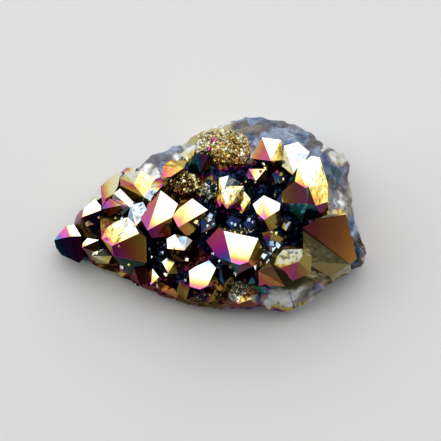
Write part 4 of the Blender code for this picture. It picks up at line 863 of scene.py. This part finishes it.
# ---- materials ----------------------------------------------------------------------------------
RAMP = [(-0.20, (0.14, 0.24, 0.42)), (-0.10, (0.56, 0.74, 0.89)), (0.00, (0.93, 0.94, 0.91)), (0.06, (0.97, 0.95, 0.72)),
        (0.13, (0.96, 0.88, 0.44)), (0.20, (0.90, 0.75, 0.22)), (0.28, (0.82, 0.56, 0.08)), (0.37, (0.78, 0.31, 0.06)),
        (0.45, (0.66, 0.12, 0.08)), (0.54, (0.72, 0.06, 0.28)), (0.63, (0.55, 0.03, 0.42)), (0.71, (0.24, 0.05, 0.45)),
        (0.79, (0.06, 0.12, 0.50)), (0.87, (0.06, 0.38, 0.62)), (0.94, (0.05, 0.45, 0.42)),
        (1.00, (0.03, 0.28, 0.16))]
BARE = [(0.0, (0.84, 0.87, 0.86)), (0.14, (0.50, 0.48, 0.43)), (0.25, (0.36, 0.33, 0.27)), (0.5, (0.25, 0.23, 0.31)),
        (0.7, (0.44, 0.56, 0.76)), (0.85, (0.12, 0.22, 0.50)), (1.0, (0.06, 0.30, 0.32))]


def coated(name, bump=1.0):
    material = bpy.data.materials.new(name)
    material.use_nodes = True
    nodes, links = material.node_tree.nodes, material.node_tree.links
    shader = nodes["Principled BSDF"]

    def attribute(key):
        node = nodes.new("ShaderNodeAttribute")
        node.attribute_name = key
        return node.outputs["Fac"]

    def number(operation, a, b, c=None, clamp=False):
        node = nodes.new("ShaderNodeMath")
        node.operation = operation
        node.use_clamp = clamp
        for slot, value in zip(node.inputs, (a, b, c)):
            if value is None:
                continue
            if isinstance(value, (int, float)):
                slot.default_value = value
            else:
                links.new(value, slot)
        return node.outputs[0]

    def grain(scale, detail, rough=0.5, stretch=None):
        tex = nodes.new("ShaderNodeTexNoise")
        tex.inputs["Scale"].default_value = scale
        tex.inputs["Detail"].default_value = detail
        tex.inputs["Roughness"].default_value = rough
        place = nodes.new("ShaderNodeMapping")
        if stretch:
            place.inputs["Scale"].default_value = stretch
        links.new(where.outputs["Object"], place.inputs["Vector"])
        links.new(place.outputs[0], tex.inputs["Vector"])
        return tex.outputs["Fac"]

    def ramp(stops, fac, mode="LINEAR"):
        node = nodes.new("ShaderNodeValToRGB")
        node.color_ramp.interpolation = mode
        while len(node.color_ramp.elements) < len(stops):
            node.color_ramp.elements.new(0.5)
        for element, (at, colour) in zip(node.color_ramp.elements, stops):
            element.position = at
            element.color = (*colour, 1.0)
        links.new(fac, node.inputs[0])
        return node.outputs[0]

    where = nodes.new("ShaderNodeTexCoord")
    film, tone_and_shade, bare, rough = (attribute(k) for k in ("film", "tone_and_shade", "bare", "rough"))
    broad, mid, fine = grain(180, 3), grain(620, 4), grain(2400, 3)
    wander = number("ADD", number("MULTIPLY", number("SUBTRACT", broad, 0.5), 0.16),
                    number("MULTIPLY", number("SUBTRACT", mid, 0.5), 0.12))
    t = number("MULTIPLY_ADD", number("ADD", film, number("MULTIPLY", wander, number("ADD", rough, 0.35))),
               1.0 / 1.2, 0.2 / 1.2, clamp=True)
    coat = ramp([((at + 0.2) / 1.2, colour) for at, colour in RAMP], t)
    greys = ramp(BARE, number("ADD", film, number("ADD", number("MULTIPLY", number("SUBTRACT", mid, 0.5), 0.35),
                                                  number("MULTIPLY", number("SUBTRACT", broad, 0.5), 0.40)), clamp=True))
    blend = nodes.new("ShaderNodeMix")
    blend.data_type = "RGBA"
    links.new(bare, blend.inputs[0])
    links.new(coat, blend.inputs[6])
    links.new(greys, blend.inputs[7])
    # painted highlight: the coat of faces and spots with the fullest tone (above two thirds) is paled up to a tenth of
    # the way toward white
    pale = nodes.new("ShaderNodeMix")
    pale.data_type = "RGBA"
    links.new(number("MULTIPLY", number("MULTIPLY_ADD", tone_and_shade, 3.0, -2.0, clamp=True), 0.10), pale.inputs[0])
    links.new(blend.outputs[2], pale.inputs[6])
    pale.inputs[7].default_value = (1.0, 1.0, 1.0, 1.0)
    dark = nodes.new("ShaderNodeMix")
    dark.data_type = "RGBA"
    dark.blend_type = "MULTIPLY"
    dark.inputs[0].default_value = 1.0
    links.new(pale.outputs[2], dark.inputs[6])
    # the coat is multiplied by the tone, which carries the painted shade of faces turned from the lamps and of the
    # cavities, with a random cloud on bare and rough parts
    grey = nodes.new("ShaderNodeCombineColor")
    cloud = number("MULTIPLY_ADD", number("SUBTRACT", mid, 0.5), number("ADD", number("MULTIPLY", bare, 0.9), number("MULTIPLY", rough, 0.8)), 1.0)
    shade = number("MULTIPLY", tone_and_shade, cloud, clamp=True)
    for k in range(3):
        links.new(shade, grey.inputs[k])
    links.new(grey.outputs[0], dark.inputs[7])
    links.new(dark.outputs[2], shader.inputs["Base Color"])
    links.new(number("MULTIPLY_ADD", bare, -0.54, 0.92, clamp=True), shader.inputs["Metallic"])
    gloss = number("ADD", number("MULTIPLY", rough, 0.30),
                   number("ADD", 0.08, number("MULTIPLY", fine, 0.06)), clamp=True)
    gloss = number("ADD", gloss, number("MULTIPLY", bare, 0.10), clamp=True)
    links.new(gloss, shader.inputs["Roughness"])
    relief = number("ADD", number("MULTIPLY", fine, 0.25), number("MULTIPLY", mid, 1.0))
    node = nodes.new("ShaderNodeBump")
    node.inputs["Distance"].default_value = 0.00006 * bump
    links.new(number("ADD", number("MULTIPLY", number("ADD", rough, bare), 1.1), 0.02, clamp=True), node.inputs["Strength"])
    links.new(relief, node.inputs["Height"])
    links.new(node.outputs[0], shader.inputs["Normal"])
    return material


points_material = coated("coated_quartz")
matrix_material = coated("coated_matrix", 2.0)
matrix = make_matrix(matrix_material)
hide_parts("quartz_cluster")
skin = Skin()
grow_points(skin, [name for name in CRYSTALS if name not in LUMPS])
points = skin.make("crystal_points", points_material)
skin = Skin()
grow_points(skin, LUMPS)
lumps = skin.make("drusy_lumps", points_material)
druse = make_druse(points_material, matrix, lumps, points)

# ---- floor, light and camera --------------------------------------------------------------------
floor_mesh = bpy.data.meshes.new("floor")
bm = bmesh.new()
bmesh.ops.create_grid(bm, x_segments=1, y_segments=1, size=1.2)
bm.to_mesh(floor_mesh)
bm.free()
floor = bpy.data.objects.new("floor", floor_mesh)
bpy.context.scene.collection.objects.link(floor)
paper = bpy.data.materials.new("pale_floor")
paper.use_nodes = True
paper.node_tree.nodes["Principled BSDF"].inputs["Base Color"].default_value = (0.80, 0.80, 0.79, 1.0)
paper.node_tree.nodes["Principled BSDF"].inputs["Roughness"].default_value = 0.9
floor_mesh.materials.append(paper)


def softbox(name, spot_at, width, height, energy, colour=(1, 1, 1)):
    light = bpy.data.lights.new(name, "AREA")
    light.shape = "RECTANGLE"
    light.size, light.size_y, light.energy, light.color = width, height, energy, colour
    lamp = bpy.data.objects.new(name, light)
    bpy.context.scene.collection.objects.link(lamp)
    lamp.location = spot_at
    lamp.rotation_euler = (Vector(spot_at) - Vector((0, 0, 0.015))).to_track_quat("Z", "Y").to_euler()
    return lamp


softbox("key_back", (-0.04, 0.28, 0.65), 1.5, 0.95, 4.8)
softbox("side_left", (-0.72, 0.02, 0.46), 0.55, 0.55, 0.85)
softbox("side_right", (0.66, -0.02, 0.13), 0.6, 0.24, 0.8)
world = bpy.data.worlds.new("studio")
bpy.context.scene.world = world
world.use_nodes = True
sky, wires = world.node_tree.nodes, world.node_tree.links
where_to = sky.new("ShaderNodeTexCoord")
toward = sky.new("ShaderNodeVectorMath")
toward.operation = "DOT_PRODUCT"
toward.inputs[1].default_value = (-0.15, 0.95, 0.25)
wires.new(where_to.outputs["Generated"], toward.inputs[0])
fall = sky.new("ShaderNodeMapRange")
fall.interpolation_type = "SMOOTHSTEP"
for slot, value in zip(fall.inputs[1:5], (-0.15, 0.60, 0.08, 0.70)):
    slot.default_value = value
wires.new(toward.outputs["Value"], fall.inputs[0])
wires.new(fall.outputs[0], sky["Background"].inputs["Strength"])
sky["Background"].inputs[0].default_value = (0.97, 0.98, 1.0, 1.0)

camera_data = bpy.data.cameras.new("camera")
camera = bpy.data.objects.new("camera", camera_data)
bpy.context.scene.collection.objects.link(camera)
aim_at = stand(spot(220.5, 220.5, 0.0)) * MM
camera.location = aim_at + AXIS_W * (VIEW * MM)
camera.rotation_euler = AXIS_W.to_track_quat("Z", "Y").to_euler()
camera_data.sensor_width = 36.0
camera_data.lens = 36.0 * VIEW / (441 * SQUARE)
camera_data.clip_start, camera_data.clip_end = 0.01, 10.0
bpy.context.scene.camera = camera
bpy.context.scene.view_settings.view_transform = "Standard"
